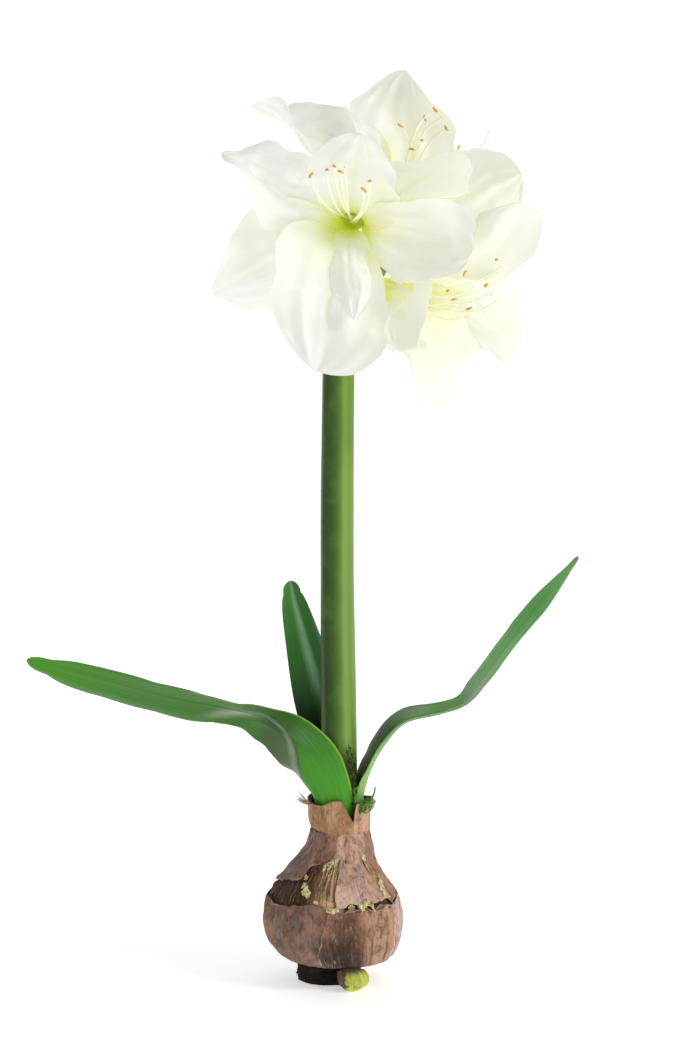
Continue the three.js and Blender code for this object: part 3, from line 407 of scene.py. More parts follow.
class Paint:
    """Builds one procedural material, colour over colour. Sockets and plain numbers can be given alike."""

    def __init__(self, name):
        self.material = bpy.data.materials.new(name)
        self.material.use_nodes = True
        self.tree = self.material.node_tree
        self.shader = self.tree.nodes["Principled BSDF"]
        place = self.node("Attribute", attribute_name="place").outputs["Vector"]
        self.s, self.t, self.side = self.node("SeparateXYZ", place).outputs
        self.position = self.node("TexCoord").outputs["Object"]

    def node(self, kind, *inputs, **settings):
        """A new node. inputs fill its sockets in their order, settings go by name."""
        made = self.tree.nodes.new("ShaderNode" + kind)
        for name, value in settings.items():
            if name in made.inputs:
                self.feed(made.inputs[name], value)
            else:
                setattr(made, name, value)
        for socket, value in zip(made.inputs, inputs):
            self.feed(socket, value)
        return made

    def feed(self, socket, value):
        if isinstance(value, bpy.types.NodeSocket):
            self.tree.links.new(value, socket)
        else:
            socket.default_value = value

    def math(self, operation, *values):
        return self.node("Math", *values, operation=operation).outputs[0]

    def span(self, value, low, high, start=0.0, end=1.0):
        """start below low, end above high, eased between."""
        made = self.node("MapRange", value, low, high, start, end, interpolation_type="SMOOTHSTEP")
        return made.outputs["Result"]

    def band(self, value, middle, half):
        """1 at the middle, 0 beyond half away from it."""
        return self.span(self.math("ABSOLUTE", self.math("SUBTRACT", value, middle)), half, 0.0)

    def times(self, *values):
        """The product of values. A tuple among them says what span takes."""
        made, *others = [self.span(*value) if isinstance(value, tuple) else value for value in values]
        for value in others:
            made = self.math("MULTIPLY", made, value)
        return made

    def total(self, start, *pairs):
        """start and each value times its factor."""
        for value, factor in pairs:
            start = self.math("MULTIPLY_ADD", value, factor, start)
        return start

    def scaled(self, factors, vector=None):
        return self.node("VectorMath", vector or self.position, factors, operation="MULTIPLY").outputs[0]

    def over(self, across, along, third=0.0):
        """Coordinates over a sheet."""
        x, y = self.times(self.t, across), self.times(self.s, along)
        return self.node("CombineXYZ", x, y, third).outputs[0]

    def rim(self, around, up):
        """Coordinates round a bulb or stem, without a seam."""
        turn = self.times(self.t, 2 * math.pi)
        rim = self.node("CombineXYZ", self.math("COSINE", turn), self.math("SINE", turn), self.s).outputs[0]
        return self.scaled((around, around, up), rim)

    def noise(self, scale=1.0, detail=4.0, roughness=0.55, distortion=0.0, at=None):
        return self.node("TexNoise", at or self.position, Scale=scale, Detail=detail, Roughness=roughness,
                         Distortion=distortion).outputs["Fac"]

    def mix(self, share, under, over):
        """Two colours, each a socket or a hex code, mixed by share."""
        made = self.node("Mix", data_type="RGBA")
        for number, value in ((0, share), (6, under), (7, over)):
            self.feed(made.inputs[number], rgb(value) if isinstance(value, str) else value)
        return made.outputs[2]

    def ramp(self, value, stops):
        """Colour from {place: hex code}."""
        made = self.node("ValToRGB", value)
        elements = made.color_ramp.elements
        for k, (place, code) in enumerate(stops.items()):
            element = elements[k] if k < 2 else elements.new(place)
            element.position, element.color = place, rgb(code)
        return made.outputs["Color"]

    def base(self, under, over, *span):
        """Starts the paint with two colours."""
        self.colour = self.mix(self.span(*span), under, over)

    def tint(self, over, *shares):
        """Lays a colour over the paint, as far as the product of the shares."""
        self.colour = self.mix(self.times(*shares), self.colour, over)

    def finish(self, roughness, height=None, relief=0.1, flesh=(), **sockets):
        """relief is the bump's depth in mm, flesh the subsurface weight, radius and scale if there is any."""
        if height is not None:
            bump = self.node("Bump", Height=height, Strength=1.0, Distance=relief * MM)
            sockets["Normal"] = bump.outputs[0]
        names = ("Base_Color", "Roughness", "Subsurface_Weight", "Subsurface_Radius", "Subsurface_Scale")
        sockets.update(zip(names, (self.colour, roughness, *flesh)))
        for name, value in sockets.items():
            self.feed(self.shader.inputs[name.replace("_", " ")], value)
        return self.material


def tepal_material():
    """White with pale veins, cream painted light to the right of the head, and green down in the throat."""
    p = Paint("tepal_white")
    veins = p.noise(1.0, 3, at=p.over(30, 2.2, p.side))
    soft = p.noise(22, 3)
    cells = p.noise(2600, 2)
    reach = p.total(-0.11, (p.s, 1), (veins, 0.22))
    p.base("e4e6e1", "dfe2d7", soft, 0.35, 0.7)
    p.tint("d1d8ce", (veins, 0.5, 0.75, 0, 0.3))
    p.tint("d4dcbc", (p.math("ABSOLUTE", p.t), 0, 0.11, 1, 0), (p.s, 0.5, 0.95, 0.45, 0.1))
    # painted light: cream on the right side of the head, where the warm key light falls
    p.tint("e8e6cc", (p.node("SeparateXYZ", p.position).outputs["X"], 0, 0.06, 0, 0.25))
    p.tint("e9e7bc", (reach, 0.1, 0.75, 0.6, 0), (soft, 0.38, 0.62, 0.35, 1.0))
    p.tint("dfe07c", (reach, 0.1, 0.46, 0.85, 0))
    p.tint("c6d042", (reach, 0.08, 0.38, 1, 0))
    p.tint("94a826", (reach, 0, 0.16, 0.75, 0))
    # painted light: the tepals glow in their own colour to lift their shade, most down in the throat
    return p.finish(p.span(cells, 0.3, 0.7, 0.42, 0.58), p.total(0, (veins, 1.6), (cells, 0.3)), 0.12,
                    (0.35, (1.0, 0.97, 0.8), 0.0022), Specular_IOR_Level=0.35, Emission_Color=p.colour,
                    Emission_Strength=p.span(p.s, 0.08, 0.26, 0.4, 0.24))


def filament_material():
    p = Paint("filament")
    grain = p.noise(900, 2)
    p.base("c6d462", "f4f2d6", p.s, 0.15, 0.55)
    p.tint("e6e3ac", (grain, 0.4, 0.7, 0, 0.3))
    # painted light: the filaments glow in their own colour, more towards their tips, to lift their shade
    return p.finish(0.45, grain, 0.05, (0.2, (1.0, 0.9, 0.5), 0.001), Emission_Color=p.colour,
                    Emission_Strength=p.span(p.s, 0.2, 0.6, 0.1, 0.2))


def anther_material():
    p = Paint("anther_pollen")
    grain = p.noise(2200, 3)
    p.base("e0a63a", "f0cd6c", p.noise(300, 2), 0.35, 0.65)
    p.tint("b8781e", (grain, 0.55, 0.75, 0, 0.7))
    return p.finish(0.85, grain, 0.25)


def scape_material():
    """Painted shade in dark olive on the left, and a painted pale highlight to the right of the middle."""
    p = Paint("scape_green")
    fine = p.noise(1.6, 3, at=p.rim(60, 2.2))
    mottle = p.noise(60, 4)
    # painted light round the stem: shade on the left and a pale highlight stripe right of the front, where
    # the key light falls
    p.colour = p.ramp(p.total(-0.015, (p.t, 1), (mottle, 0.03)), {
        0: "6f9a26", 0.25: "587a24", 0.5: "4a5a2c", 0.56: "3c541c", 0.63: "304a17", 0.69: "3c5c1b",
        0.75: "4e7422", 0.78: "648a36", 0.815: "8aaa58", 0.845: "86aa4a", 0.88: "789f38", 0.93: "719c2c",
        1: "6f9a26"})
    p.tint("7f9f4c", (mottle, 0.45, 0.75, 0, 0.2))
    p.tint("3c5a20", (fine, 0.5, 0.75, 0, 0.18))
    # painted shade: darker near the foot, where the leaves wrap round the stem
    p.tint("2c4416", (p.s, 0, 0.12, 0.6, 0))
    return p.finish(p.span(mottle, 0.3, 0.7, 0.34, 0.46), fine, 0.1, (0.08, (0.6, 1.0, 0.2), 0.002),
                    Specular_IOR_Level=0.28)


def leaf_finish(p, shine=0.0):
    """What all leaves share: soft bands, fine lines and veins, and a dry tip."""
    veins = p.math("SINE", p.times(p.t, math.pi * 26))
    bands = p.noise(1.0, 4, at=p.over(7, 3.0, p.side))
    fine = p.noise(1.0, 3, at=p.over(60, 7.0))
    p.tint("2f6a2c", (bands, 0.46, 0.7, 0, 0.3))
    p.tint("2c5a26", (fine, 0.52, 0.8, 0, 0.3))
    p.tint("2a5522", (veins, 0.3, 1, 0, 0.12))
    p.tint("7f8a48", (p.s, 0.985, 0.999, 0, 0.5))
    return p.finish(p.total(p.span(bands, 0.3, 0.7, 0.38, 0.48), (shine, -0.1)),
                    p.total(0, (veins, 0.3), (fine, 0.6)), 0.07, (0.12, (0.5, 1.0, 0.15), 0.0015),
                    Specular_IOR_Level=0.25)


def left_leaf_material():
    """Fresh green where it turns over, grey green and painted shade behind the fold, painted sheen on the
    bend.
    """
    p = Paint("leaf_left_green")
    p.colour = p.ramp(p.s, {
        0: "50ac20", 0.14: "4ea424", 0.21: "4a9a24", 0.29: "428426", 0.37: "3c6c26", 0.47: "467830",
        0.62: "508a3a", 0.8: "589444", 0.91: "5ca636", 1: "58b22a"})
    past = p.total(-1.46, (p.t, 1), (p.s, 4.4))
    behind = p.times((past, -0.02, 0.05), (p.s, 0.5, 0.42))
    # behind the fold: grey green partly its own colour and partly painted shade, with a painted pale streak
    # and painted dark shade along the crease
    p.tint(p.ramp(p.s, {0: "7c916c", 0.2: "71855f", 0.29: "5c6e4d", 0.4: "45603a", 0.5: "42653a"}), behind)
    p.tint("93a68c", behind, p.band(past, 0.24, 0.2), 0.6)
    p.tint("39522f", behind, p.band(past, 0.05, 0.09), 0.6)
    # painted sheen: a pale highlight on the bend, where the blade also shines more
    gloss_and_painted_sheen = p.times(p.band(p.total(2.18, (p.t, 1), (p.s, -4.4)), 0, 0.42), p.band(p.s, 0.56, 0.14))
    p.tint("b0c0a8", gloss_and_painted_sheen, 0.85)
    p.tint("8fbf3c", (p.t, -0.9, -0.96), (p.s, 0.1, 0.16), (p.s, 0.66, 0.58), 0.9)
    # painted sheen: pale grey green near the edge further out
    p.tint("98a88f", (p.t, 0.72, 0.95), (p.s, 0.6, 0.8), 0.4)
    return leaf_finish(p, gloss_and_painted_sheen)


def right_leaf_material():
    """Grey green above and pale green below at the foot, with a painted grey sheen where the blade turns."""
    p = Paint("leaf_right_green")
    # painted sheen: the pale grey greens at s 0.67 to 0.71, where the blade turns
    p.colour = p.ramp(p.s, {
        0: "36482b", 0.22: "4c5e42", 0.31: "526a48", 0.4: "4a6840", 0.45: "6a9262", 0.5: "7ca872",
        0.53: "60a646", 0.62: "64aa4a", 0.67: "8aae86", 0.71: "9abc94", 0.76: "8ac278", 0.82: "76be68",
        0.9: "66b25a", 0.96: "7cc068", 1: "8ec078"})
    # painted shade: dark beside the crease near the foot
    p.tint("233d1a", p.band(p.t, 0.1, 0.32), (p.s, 0.47, 0.38), 0.9)
    # painted sheen: grey on the fold near the foot
    p.tint("858d86", (p.t, 0.66, 0.9), (p.s, 0.56, 0.46), 0.75)
    # painted highlight: a pale band along the outer blade
    p.tint("93b98a", p.band(p.t, 0.45, 0.25), (p.s, 0.74, 0.8), 0.3)
    pale = p.ramp(p.s, {
        0: "9dce72", 0.2: "8fc262", 0.3: "82b455", 0.42: "689442", 0.55: "55884a", 1: "5a8d50"})
    p.tint(pale, (p.t, 0.02, -0.06), (p.s, 0.62, 0.5))
    return leaf_finish(p)


def back_leaf_material():
    """Dark blue green with a painted pale sheen along the middle, and painted shade nearly black behind the
    stem.
    """
    p = Paint("leaf_back_green")
    # painted shade: nearly black low down, where the leaf is behind the stem
    p.colour = p.ramp(p.s, {
        0: "081a06", 0.5: "0f2c0c", 0.58: "285a24", 0.66: "38782c", 0.76: "448a34", 0.88: "549a42",
        1: "66a258"})
    p.tint("2a5f28", (p.t, -0.1, -0.4), (p.s, 0.55, 0.7), 0.6)
    # painted sheen: pale along the middle, where the blade also shines more
    sheen = p.times(p.band(p.t, -0.04, 0.36), (p.s, 0.5, 0.68, 0.1, 1.0))
    p.tint("8fb892", sheen, 0.95)
    # painted sheen: bluish pale near the right edge
    p.tint("73a585", (p.t, -0.7, -0.95), p.band(p.s, 0.68, 0.14), 0.6)
    return leaf_finish(p, sheen)


# how softly a colour zone of the skins ends, as a share of a turn
ZONE_EDGE = 0.012


def skin_material(name, base, shade, patch, warm, fibre, zones, torn="c2a089", streaks=0.35):
    """Papery bulb skin: s is the height in metres, t the turn, and side how near a torn edge is.

    zones are (colour, turn where it starts, turn where it ends, share).
    """
    p = Paint(name)
    fibres = p.noise(1.0, 4, 0.6, at=p.rim(40, 44))
    strands = p.noise(1.0, 3, at=p.rim(13, 19.8))
    clouds = p.noise(42, 5, 0.6, 0.5)
    blotches = p.noise(105, 5, 0.62, 0.6, p.scaled((1, 1, 0.8)))
    rust = p.noise(88, 5, 0.6, 0.8, p.scaled((1.1, 1, 0.7)))
    specks = p.noise(420, 3)
    folds = p.noise(230, 5, 0.72, 0.5, p.scaled((1, 1, 0.62)))
    p.base(base, shade, clouds, 0.4, 0.6)
    turn = p.total(-0.025, (p.t, 1), (clouds, 0.05))
    for tint, first, last, share in zones:
        p.tint(tint, (turn, first - ZONE_EDGE, first + ZONE_EDGE),
               (turn, last + ZONE_EDGE, last - ZONE_EDGE), share)
    # painted light: of these, the two folds entries darken the dents that the folds bump in and pale their
    # ridges
    for tint, value, low, high, share in (
            (warm, rust, 0.53, 0.64, 0.75), (patch, blotches, 0.53, 0.63, 0.7),
            (shade, strands, 0.53, 0.66, streaks), (fibre, fibres, 0.56, 0.74, 0.45),
            ("3a271e", fibres, 0.44, 0.3, 0.45), ("4a3327", folds, 0.5, 0.66, 0.6),
            (fibre, folds, 0.46, 0.33, 0.4), (fibre, specks, 0.62, 0.75, 0.3)):
        p.tint(tint, (value, low, high, 0, share))
    # darker and streaky low on the front of the bulb
    darkening_height = p.total(-0.006, (p.s, 1), (blotches, 0.012))
    p.tint("2e251f", (darkening_height, 0.048, 0.023), (turn, 0.69, 0.715), (turn, 0.87, 0.78),
           (fibres, 0.38, 0.6, 1, 0.65))
    p.tint(torn, (p.total(-0.6, (p.side, 1), (blotches, 1.2)), 0.9, 1.05, 0, 0.65))
    height = p.total(0, (fibres, 0.8), (blotches, 1.1), (specks, 0.4), (folds, -1.2))
    return p.finish(p.span(clouds, 0.3, 0.7, 0.55, 0.8), height, 0.95, Specular_IOR_Level=0.3)


def fibrous_material():
    """The layer that shows where the skins are torn: dark on the left, pale and stringy in the middle."""
    p = Paint("fibrous_layer")
    fibres = p.noise(1.0, 4, 0.6, at=p.rim(34, 5))
    blotches = p.noise(170, 5, 0.65, 0.7)
    lit = p.span(p.t, 0.69, 0.735, 0.25, 1)
    p.base("85603a", p.mix(lit, "94723e", "e8be96"), fibres, 0.34, 0.5)
    p.tint(p.mix(lit, "5d4416", "a97f55"), (blotches, 0.5, 0.6, 0, 0.6))
    p.tint("e6d69c", (fibres, 0.56, 0.66), 0.8)
    stringy = p.colour
    p.base("40311f", "5c4232", blotches, 0.4, 0.62)
    p.tint("6d5138", (fibres, 0.55, 0.7, 0, 0.6))
    p.tint(stringy, (p.t, 0.672, 0.7), (p.t, 0.785, 0.775))
    return p.finish(0.75, p.total(0, (fibres, 1.4), (blotches, 1)), 0.8, Specular_IOR_Level=0.3)


def flake_material():
    """Cream inner side of the skins, seen where they are torn."""
    p = Paint("cream_flake")
    streaks = p.noise(900, 4, 0.6, at=p.scaled((1, 1, 0.35)))
    blotches = p.noise(260, 4, 0.6)
    p.base("f0eac0", "d8ca80", blotches, 0.4, 0.56)
    p.tint("8f7434", (streaks, 0.5, 0.62, 0, 0.85))
    p.tint("7a5a36", (blotches, 0.56, 0.66, 0, 0.7))
    return p.finish(0.6, p.math("ADD", streaks, blotches), 0.35, (0.1, (1.0, 0.9, 0.5), 0.0008))


def cork_material():
    p = Paint("root_cork")
    grain = p.noise(260, 6, 0.65)
    clumps = p.noise(90, 4, at=p.scaled((1, 1, 2.5)))
    p.base("120e0b", "271c15", clumps, 0.38, 0.68)
    p.tint("453427", (grain, 0.58, 0.75, 0, 0.6))
    return p.finish(0.9, p.math("ADD", grain, clumps), 0.8, Specular_IOR_Level=0.25)


def bulblet_material():
    """Yellow-green flesh on the right, bare of its brown shell."""
    p = Paint("bulblet_skin")
    stripes = p.noise(1.0, 4, at=p.rim(11, 0.96))
    blotches = p.noise(130, 4, 0.6, 0.5)
    p.base("a5b034", "dde05e", stripes, 0.35, 0.65)
    p.tint("788a26", (blotches, 0.5, 0.7, 0, 0.6))
    flesh = p.colour
    p.base("3a2219", "5f4030", stripes, 0.35, 0.65)
    x = p.node("SeparateXYZ", p.position).outputs["X"]
    p.tint(flesh, (p.total(-0.008, (x, 1), (blotches, 0.016)), 0.0085, 0.0105), (p.s, 0.74, 0.56))
    return p.finish(0.5, p.math("ADD", stripes, blotches), 0.35)


def moss_material(name, dark, light):
    p = Paint(name)
    clumps = p.noise(240, 3)
    p.base(dark, light, clumps, 0.35, 0.7)
    p.tint(light, (p.s, 0.6, 1.0, 0, 0.5))
    return p.finish(0.75, clumps, 0.2)


def pedicel_material():
    p = Paint("pedicel_green")
    streaks = p.noise(1.0, 4, at=p.scaled((220, 220, 30)))
    p.base("6d8f3b", "9ab45c", streaks, 0.35, 0.68)
    p.tint("b9cc6a", (p.s, 0.75, 1.0, 0, 0.5))
    return p.finish(0.42, streaks, 0.15, (0.1, (0.6, 1.0, 0.2), 0.0015))


def bract_material():
    p = Paint("bract_paper")
    veins = p.noise(1.0, 4, at=p.over(16, 1.6, p.side))
    p.base("d2c49c", "a8925f", veins, 0.4, 0.62)
    p.tint("8c9a55", (p.noise(90, 4), 0.5, 0.75, 0, 0.6))
    return p.finish(0.7, veins, 0.25, (0.15, (1.0, 0.8, 0.5), 0.001))


# ---- bulb, root plate and bulblet ---------------------------------------------------------------

def rim_height(angle):
    off = np.mod(angle - math.radians(RIM["notch_angle"]) + np.pi, 2 * np.pi) - np.pi
    half = np.radians(np.where(off < 0, RIM["notch_left"], RIM["notch_right"]))
    notch = np.maximum(0, 1 - np.abs(off) / half)
    return RIM["ripple"] * (np.sin(3 * angle) + 0.5 * np.sin(7 * angle + 1)) - RIM["notch_depth"] * notch


U_LINE = even(400)
HEIGHT_LINE = column(BULB_OUTLINE, 1, U_LINE)


def bulb_surface(angle, height, lift):
    """Points of the bulb's skin at an angle and a height, standing lift outside the outline."""
    u = np.interp(height, HEIGHT_LINE, U_LINE)
    shape = u.shape
    radius, lean = (column(BULB_OUTLINE, k, u.ravel()).reshape(shape) for k in (0, 2))
    reach = radius + lift
    reach = reach + RIBS["depth"] * np.sin(RIBS["count"] * angle + 0.05 * height) * smooth(height, 14, 40)
    lifted = height + rim_height(angle) * smooth(height, NECK_FROM, NECK_TO)
    return np.stack([lean + reach * np.cos(angle), reach * np.sin(angle), lifted], -1)


def neck_in(angle, height):
    """How much slimmer the layers are under the collar than the outline, mostly on the left."""
    left = smooth(-np.cos(angle), 0.2, 0.9)
    return (1.5 * smooth(height, 84, 104) * smooth(height, 128, 110)
            + 2.0 * left * smooth(height, 88, 97) * smooth(height, 118, 106))


def turned(angle):
    """0..1 once round the bulb."""
    return np.mod(angle / (2 * np.pi), 1)


def furrows(angle, height, seed, count=70, stretch=26):
    """Fibres that run up the bulb: rough round it and long along it."""
    return rough(turned(angle) * count, height / stretch, seed, count)


def bulb_body():
    """The fibrous layer under the torn skins, with the pocket for the stem and leaves."""
    height = HEIGHT_LINE[np.linspace(0, len(U_LINE) - 1, 90).astype(int)][:, None]
    angle, height = np.broadcast_arrays(full_turn(240)[None, :], height)
    relief = 0.45 * furrows(angle, height, 1) + 0.35 * rough(turned(angle) * 24, height / 6, 5, 24)
    lift = relief * smooth(height, 14, 30) * smooth(height, NECK_TO, 100) - neck_in(angle, height)
    rings = bulb_surface(angle, height, lift)
    middle = np.array([BULB_OUTLINE[-1][2], 0, 0])
    ways = unit((rings[-1] - middle) * (1, 1, 0))
    pocket = ((POCKET["rim"], rings[-1, :, 2:]), (POCKET["radius"], NECK_FROM),
              (POCKET["radius"], POCKET["floor"]))
    inner = [middle + ways * radius + level * np.array([0, 0, 1]) for radius, level in pocket]
    return loft(np.concatenate([rings, inner]))


def skin_patch(lower, upper, lift, seed, sides=((0, 360), (0, 360)), columns=300, rows=32,
               torn=(True, False), flare=0.9, tear=0.6):
    """One papery skin over the bulb between two edges that are given as height at an angle.

    lower and upper are lists of (degrees, height), and sides are the degrees of its two ends at its bottom
    and at its top. The torn edges are ragged and stand off a little, and mark tells how near they are.
    """
    whole = sides[0][1] - sides[0][0] == 360
    q = even(columns + 1)[None, :]
    v = smooth(even(rows + 1), -0.12, 1.12)
    v = ((v - v[0]) / (v[-1] - v[0]))[:, None]
    first, last = (lerp(low, high, v) for low, high in zip(*sides))
    angle = np.radians(lerp(first, last, q))
    edges = []
    for number, line in enumerate((lower, upper)):
        where, level = zip(*sorted(line))
        ragged = 1.5 * rough(turned(angle) * 40, number, seed, 40, 4)
        ragged -= 3.0 * np.maximum(0, noise(turned(angle) * 90, number + 3, seed + 9, 90) - 0.45)
        edges.append(np.interp(np.degrees(angle) % 360, where, level, period=360)
                     + tear * ragged * torn[number] * (1 if number else -1))
    height = lerp(edges[0], edges[1], v)
    ends = np.maximum(smooth(q, 0.08, 0), smooth(q, 0.92, 1)) * (0 if whole else 1)
    angle = angle + np.radians(1.6) * rough(height / 9, 2.5, seed + 4) * ends
    to_lower, to_upper = height - edges[0], edges[1] - height
    near = np.maximum(smooth(to_lower, 4, 0) * torn[0], smooth(to_upper, 4, 0) * torn[1])
    near = np.maximum(near, ends)
    curl = flare * near * (0.6 + 0.8 * noise(turned(angle) * 30, height / 20, seed + 20, 30))
    crease = 0.5 - np.abs(rough(turned(angle) * 26 + height / 40, height / 11, seed + 2, 26))
    relief = (0.16 * furrows(angle, height, seed + 1, 90, 30) + 0.6 * crease
              + 0.34 * rough(turned(angle) * 44, height / 4, seed + 6, 44))
    grid = bulb_surface(angle, height, lift(angle, height) + curl + relief)
    return sheet(grid, SKIN_THICK, height * MM, turned(angle), near)


def shred(path, width, seed, lift=3.2, count=52):
    """A ragged flake that lies on the bulb along a path of (degrees, height)."""
    u = even(count)
    angle, height = spline([(math.radians(a), h) for a, h in path], u).T
    radius = np.linalg.norm(bulb_surface(angle, height, 0)[:, :2], axis=1)
    way = unit(np.stack([np.gradient(angle) * radius, np.gradient(height)], 1))
    t = np.linspace(-1, 1, 9)[None, :]
    ragged = 0.45 + 0.7 * rough(u[:, None] * 10, np.sign(t) * 1.5 + 4, seed)
    ends = np.sqrt(np.clip(np.minimum(u, 1 - u) * 8, 0.02, 1))[:, None]
    off = t * spline(width, u) / 2 * np.clip(0.45 + ragged, 0.12, 1.7) * ends
    lifted = lift + 0.45 * rough(u[:, None] * 11, t * 2 + 9, seed + 3) - 0.5 * t**2
    angle = angle[:, None] - way[:, 1:] * off / radius[:, None]
    height = height[:, None] + way[:, :1] * off
    return sheet(bulb_surface(angle, height, lifted), SHRED_THICK)


def whiskers(count, degrees, heights, lift, seed, radius, length, lean):
    """Loose fibres that run up the bulb."""
    random = np.random.default_rng(SEED + seed)
    shapes = []
    u = even(8)
    for _ in range(count):
        turn, start = random.uniform(*degrees), random.uniform(*heights)
        stray = spline(random.normal(size=(2, 2)) * (lean, 0.35), u)
        height = np.minimum(start + u * random.uniform(*length), heights[1] + 2)
        line = bulb_surface(np.radians(turn + stray[:, 0]), height, lift + 0.3 * stray[:, 1])
        shapes.append(tube(line, np.linspace(1, 0.4, 8) * radius * random.uniform(0.7, 1.5), 5))
    return shapes


def ribbon(line, width, thickness, twist=0.0, tall=(0, 0, 1), columns=4):
    """A narrow strip along a line, as wide as width says at each point, turning by twist."""
    line = np.asarray(line, float)
    ways = unit(np.gradient(line, axis=0))
    side = unit(np.cross(ways, tall))
    face = np.cross(side, ways)
    turn = np.linspace(0, twist, len(line))[:, None]
    side = side * np.cos(turn) + face * np.sin(turn)
    across = np.linspace(-0.5, 0.5, columns + 1)[None, :, None]
    grid = line[:, None] + side[:, None] * across * np.broadcast_to(width, len(line))[:, None, None]
    return sheet(grid, thickness)


def neck_line(knots, count):
    """A line through knots given as (degrees round the neck, distance from its middle, height)."""
    return spline([polar(BULB_OUTLINE[-1][2], 0, *knot) for knot in knots], even(count))


def neck_strands(seed=31):
    """Dry strands of old skin that stick out of the collar, left, and its curled rim, right."""
    random = np.random.default_rng(SEED + seed)
    shapes = []
    for _ in range(6):
        start, rise, reach = (random.uniform(*ends) for ends in ((184, 206), (3, 12), (27, 33)))
        line = neck_line([(start, 20.5, 120), (start, 22.2, 125.5),
                          (start - 2, lerp(22.5, reach, 0.6), 126 + 0.5 * rise),
                          (start - 4, reach, 127 + rise * random.uniform(0.5, 1))], 22)
        width = np.linspace(3.0, 0.6, 22) * random.uniform(0.7, 1.1)
        shapes.append(ribbon(line, width, 0.35, random.uniform(-1.6, 1.6)))
    for start in (-38, -30, -22, -12, 60, 95, 140):
        out = random.uniform(23.5, 25.5)
        line = neck_line([(start, 20.5, 118), (start, 22.2, 124), (start + 2, out, 129),
                          (start + 4, out + 0.4, 126.5), (start + 6, out - 1.5, 125)], 26)
        shapes.append(ribbon(line, np.linspace(6.0, 2.0, 26), 0.4, random.uniform(-0.5, 0.5)))
    return shapes


# The torn edges, as (degrees round the bulb, height); -90 is the front.
LOWER_TOP = [
    (-180, 60), (-166, 61), (-145, 58.5), (-130, 60), (-116, 61.5), (-108, 62.5), (-99, 61), (-89, 58.5),
    (-83, 58.5), (-74, 60.5), (-63, 59), (-53, 57.5), (-45, 60), (-37, 58.8), (-24, 57), (0, 66), (40, 64),
    (80, 68), (120, 61), (160, 66),
]
UPPER_BOTTOM = [
    (-180, 74), (-156, 73.6), (-139, 75.4), (-129.5, 77.5), (-127, 85.4), (-111, 88.2), (-102, 87), (-94, 91),
    (-84, 89.5), (-78, 93), (-68, 87.5), (-60, 90), (-55, 91), (-47, 88), (-43, 84), (-38, 80), (-33, 77),
    (-30, 62), (-24, 58), (0, 70), (30, 80), (60, 71), (100, 83), (140, 70), (165, 80),
]
COLLAR_BOTTOM = [
    (-180, 107), (-145, 108.7), (-130, 107), (-114, 105.5), (-91, 105.3), (-64, 105.5), (-55, 107),
    (-26, 104.6), (0, 103), (60, 105), (120, 101), (160, 106),
]
BROWN_TOP = [(-110, 57), (-94, 57.5), (-80, 57), (-60, 57), (-45, 58.5), (-27, 56)]
PATCH_BOTTOM = [(-90, 60.5), (-74, 62.5), (-60, 61), (-44, 61.5)]
PATCH_TOP = [(-90, 94), (-78, 95), (-68, 91), (-55, 94), (-43, 87), (-38, 84), (-26, 82)]

# Cream flakes: a path of (degrees, height) and the width at points spread along it.
FLAKES = [
    ([(-124, 75), (-120, 72), (-115, 68.5), (-112, 67)], [1.4, 3.8, 4.4, 1.8]),
    ([(-127, 80), (-125, 78), (-123, 77.4)], [0.8, 1.6, 0.8]),
    ([(-107, 64.6), (-104, 64), (-102, 63.6)], [0.8, 1.6, 0.8]),
    ([(-95, 60.4), (-91, 59.4), (-87, 59.6), (-84, 61)], [1.4, 3.6, 3.2, 1.4]),
    ([(-76, 60.6), (-73, 61.4), (-70, 61)], [0.8, 1.8, 1.2]),
    ([(-67, 61), (-63, 60.6), (-60, 61.6), (-56, 65)], [2.0, 4.4, 4.8, 2.0]),
    ([(-52, 57), (-54, 60), (-53, 63)], [1.0, 2.2, 1.2]),
    ([(-25, 77), (-28, 73), (-31, 68), (-34, 63)], [1.2, 2.8, 3.6, 2.0]),
    ([(-53, 94), (-50, 91), (-46, 88.5)], [1.2, 3.0, 1.6]),
    ([(-106, 83), (-104, 87), (-101, 89)], [1.0, 2.0, 1.2]),
    ([(-100, 84), (-97, 88), (-95, 91)], [1.4, 3.0, 1.6]),
    ([(-92, 86), (-91, 90), (-89, 92)], [1.0, 2.2, 1.2]),
    ([(-34, 58.3), (-37, 57.6), (-41, 58.4)], [0.8, 1.6, 0.8]),
]

# Each skin's name, base, shade, patch, warm and fibre colour, its zones, and what differs from the usual.
SKIN_LOOKS = [
    # painted light: the pale zones e4c2b4, cca282 and e8bca4 towards the right are partly painted light from
    # the right, over the skins' own paler tone
    ("skin_mauve", "9a7662", "79604f", "75696a", "a9714f", "c4aba2",
     [("e4c2b4", 0.9, 1.2, 0.9), ("e4c2b4", -0.2, 0.06, 0.9)], {}),
    ("skin_brown", "98694e", "5c3e2f", "85644f", "ad7656", "d0ac90",
     [("cca282", 0.822, 1.2, 0.85), ("ac8570", 0.0, 0.738, 0.75), ("6a4a38", 0.742, 0.8, 0.5)],
     {"streaks": 0.7}),
    ("skin_rose", "ad7f68", "8a6250", "98807c", "bd8567", "d6b09c",
     [("7c6d6c", 0.5, 0.63, 0.75), ("e8bca4", 0.742, 0.9, 0.88), ("b88a6a", 0.905, 1.2, 0.7)], {}),
    ("skin_lilac", "f0c6b2", "cca590", "baa4ac", "d6a487", "efd4c6",
     [("c69a76", 0.862, 1.2, 0.9)], {"torn": "e0cf92"}),
    ("skin_tan", "cda378", "a98158", "cf9578", "bf8f64", "dcb88e",
     [("eab99e", 0.832, 1.2, 0.9)], {"torn": "7d5a3e"}),
]
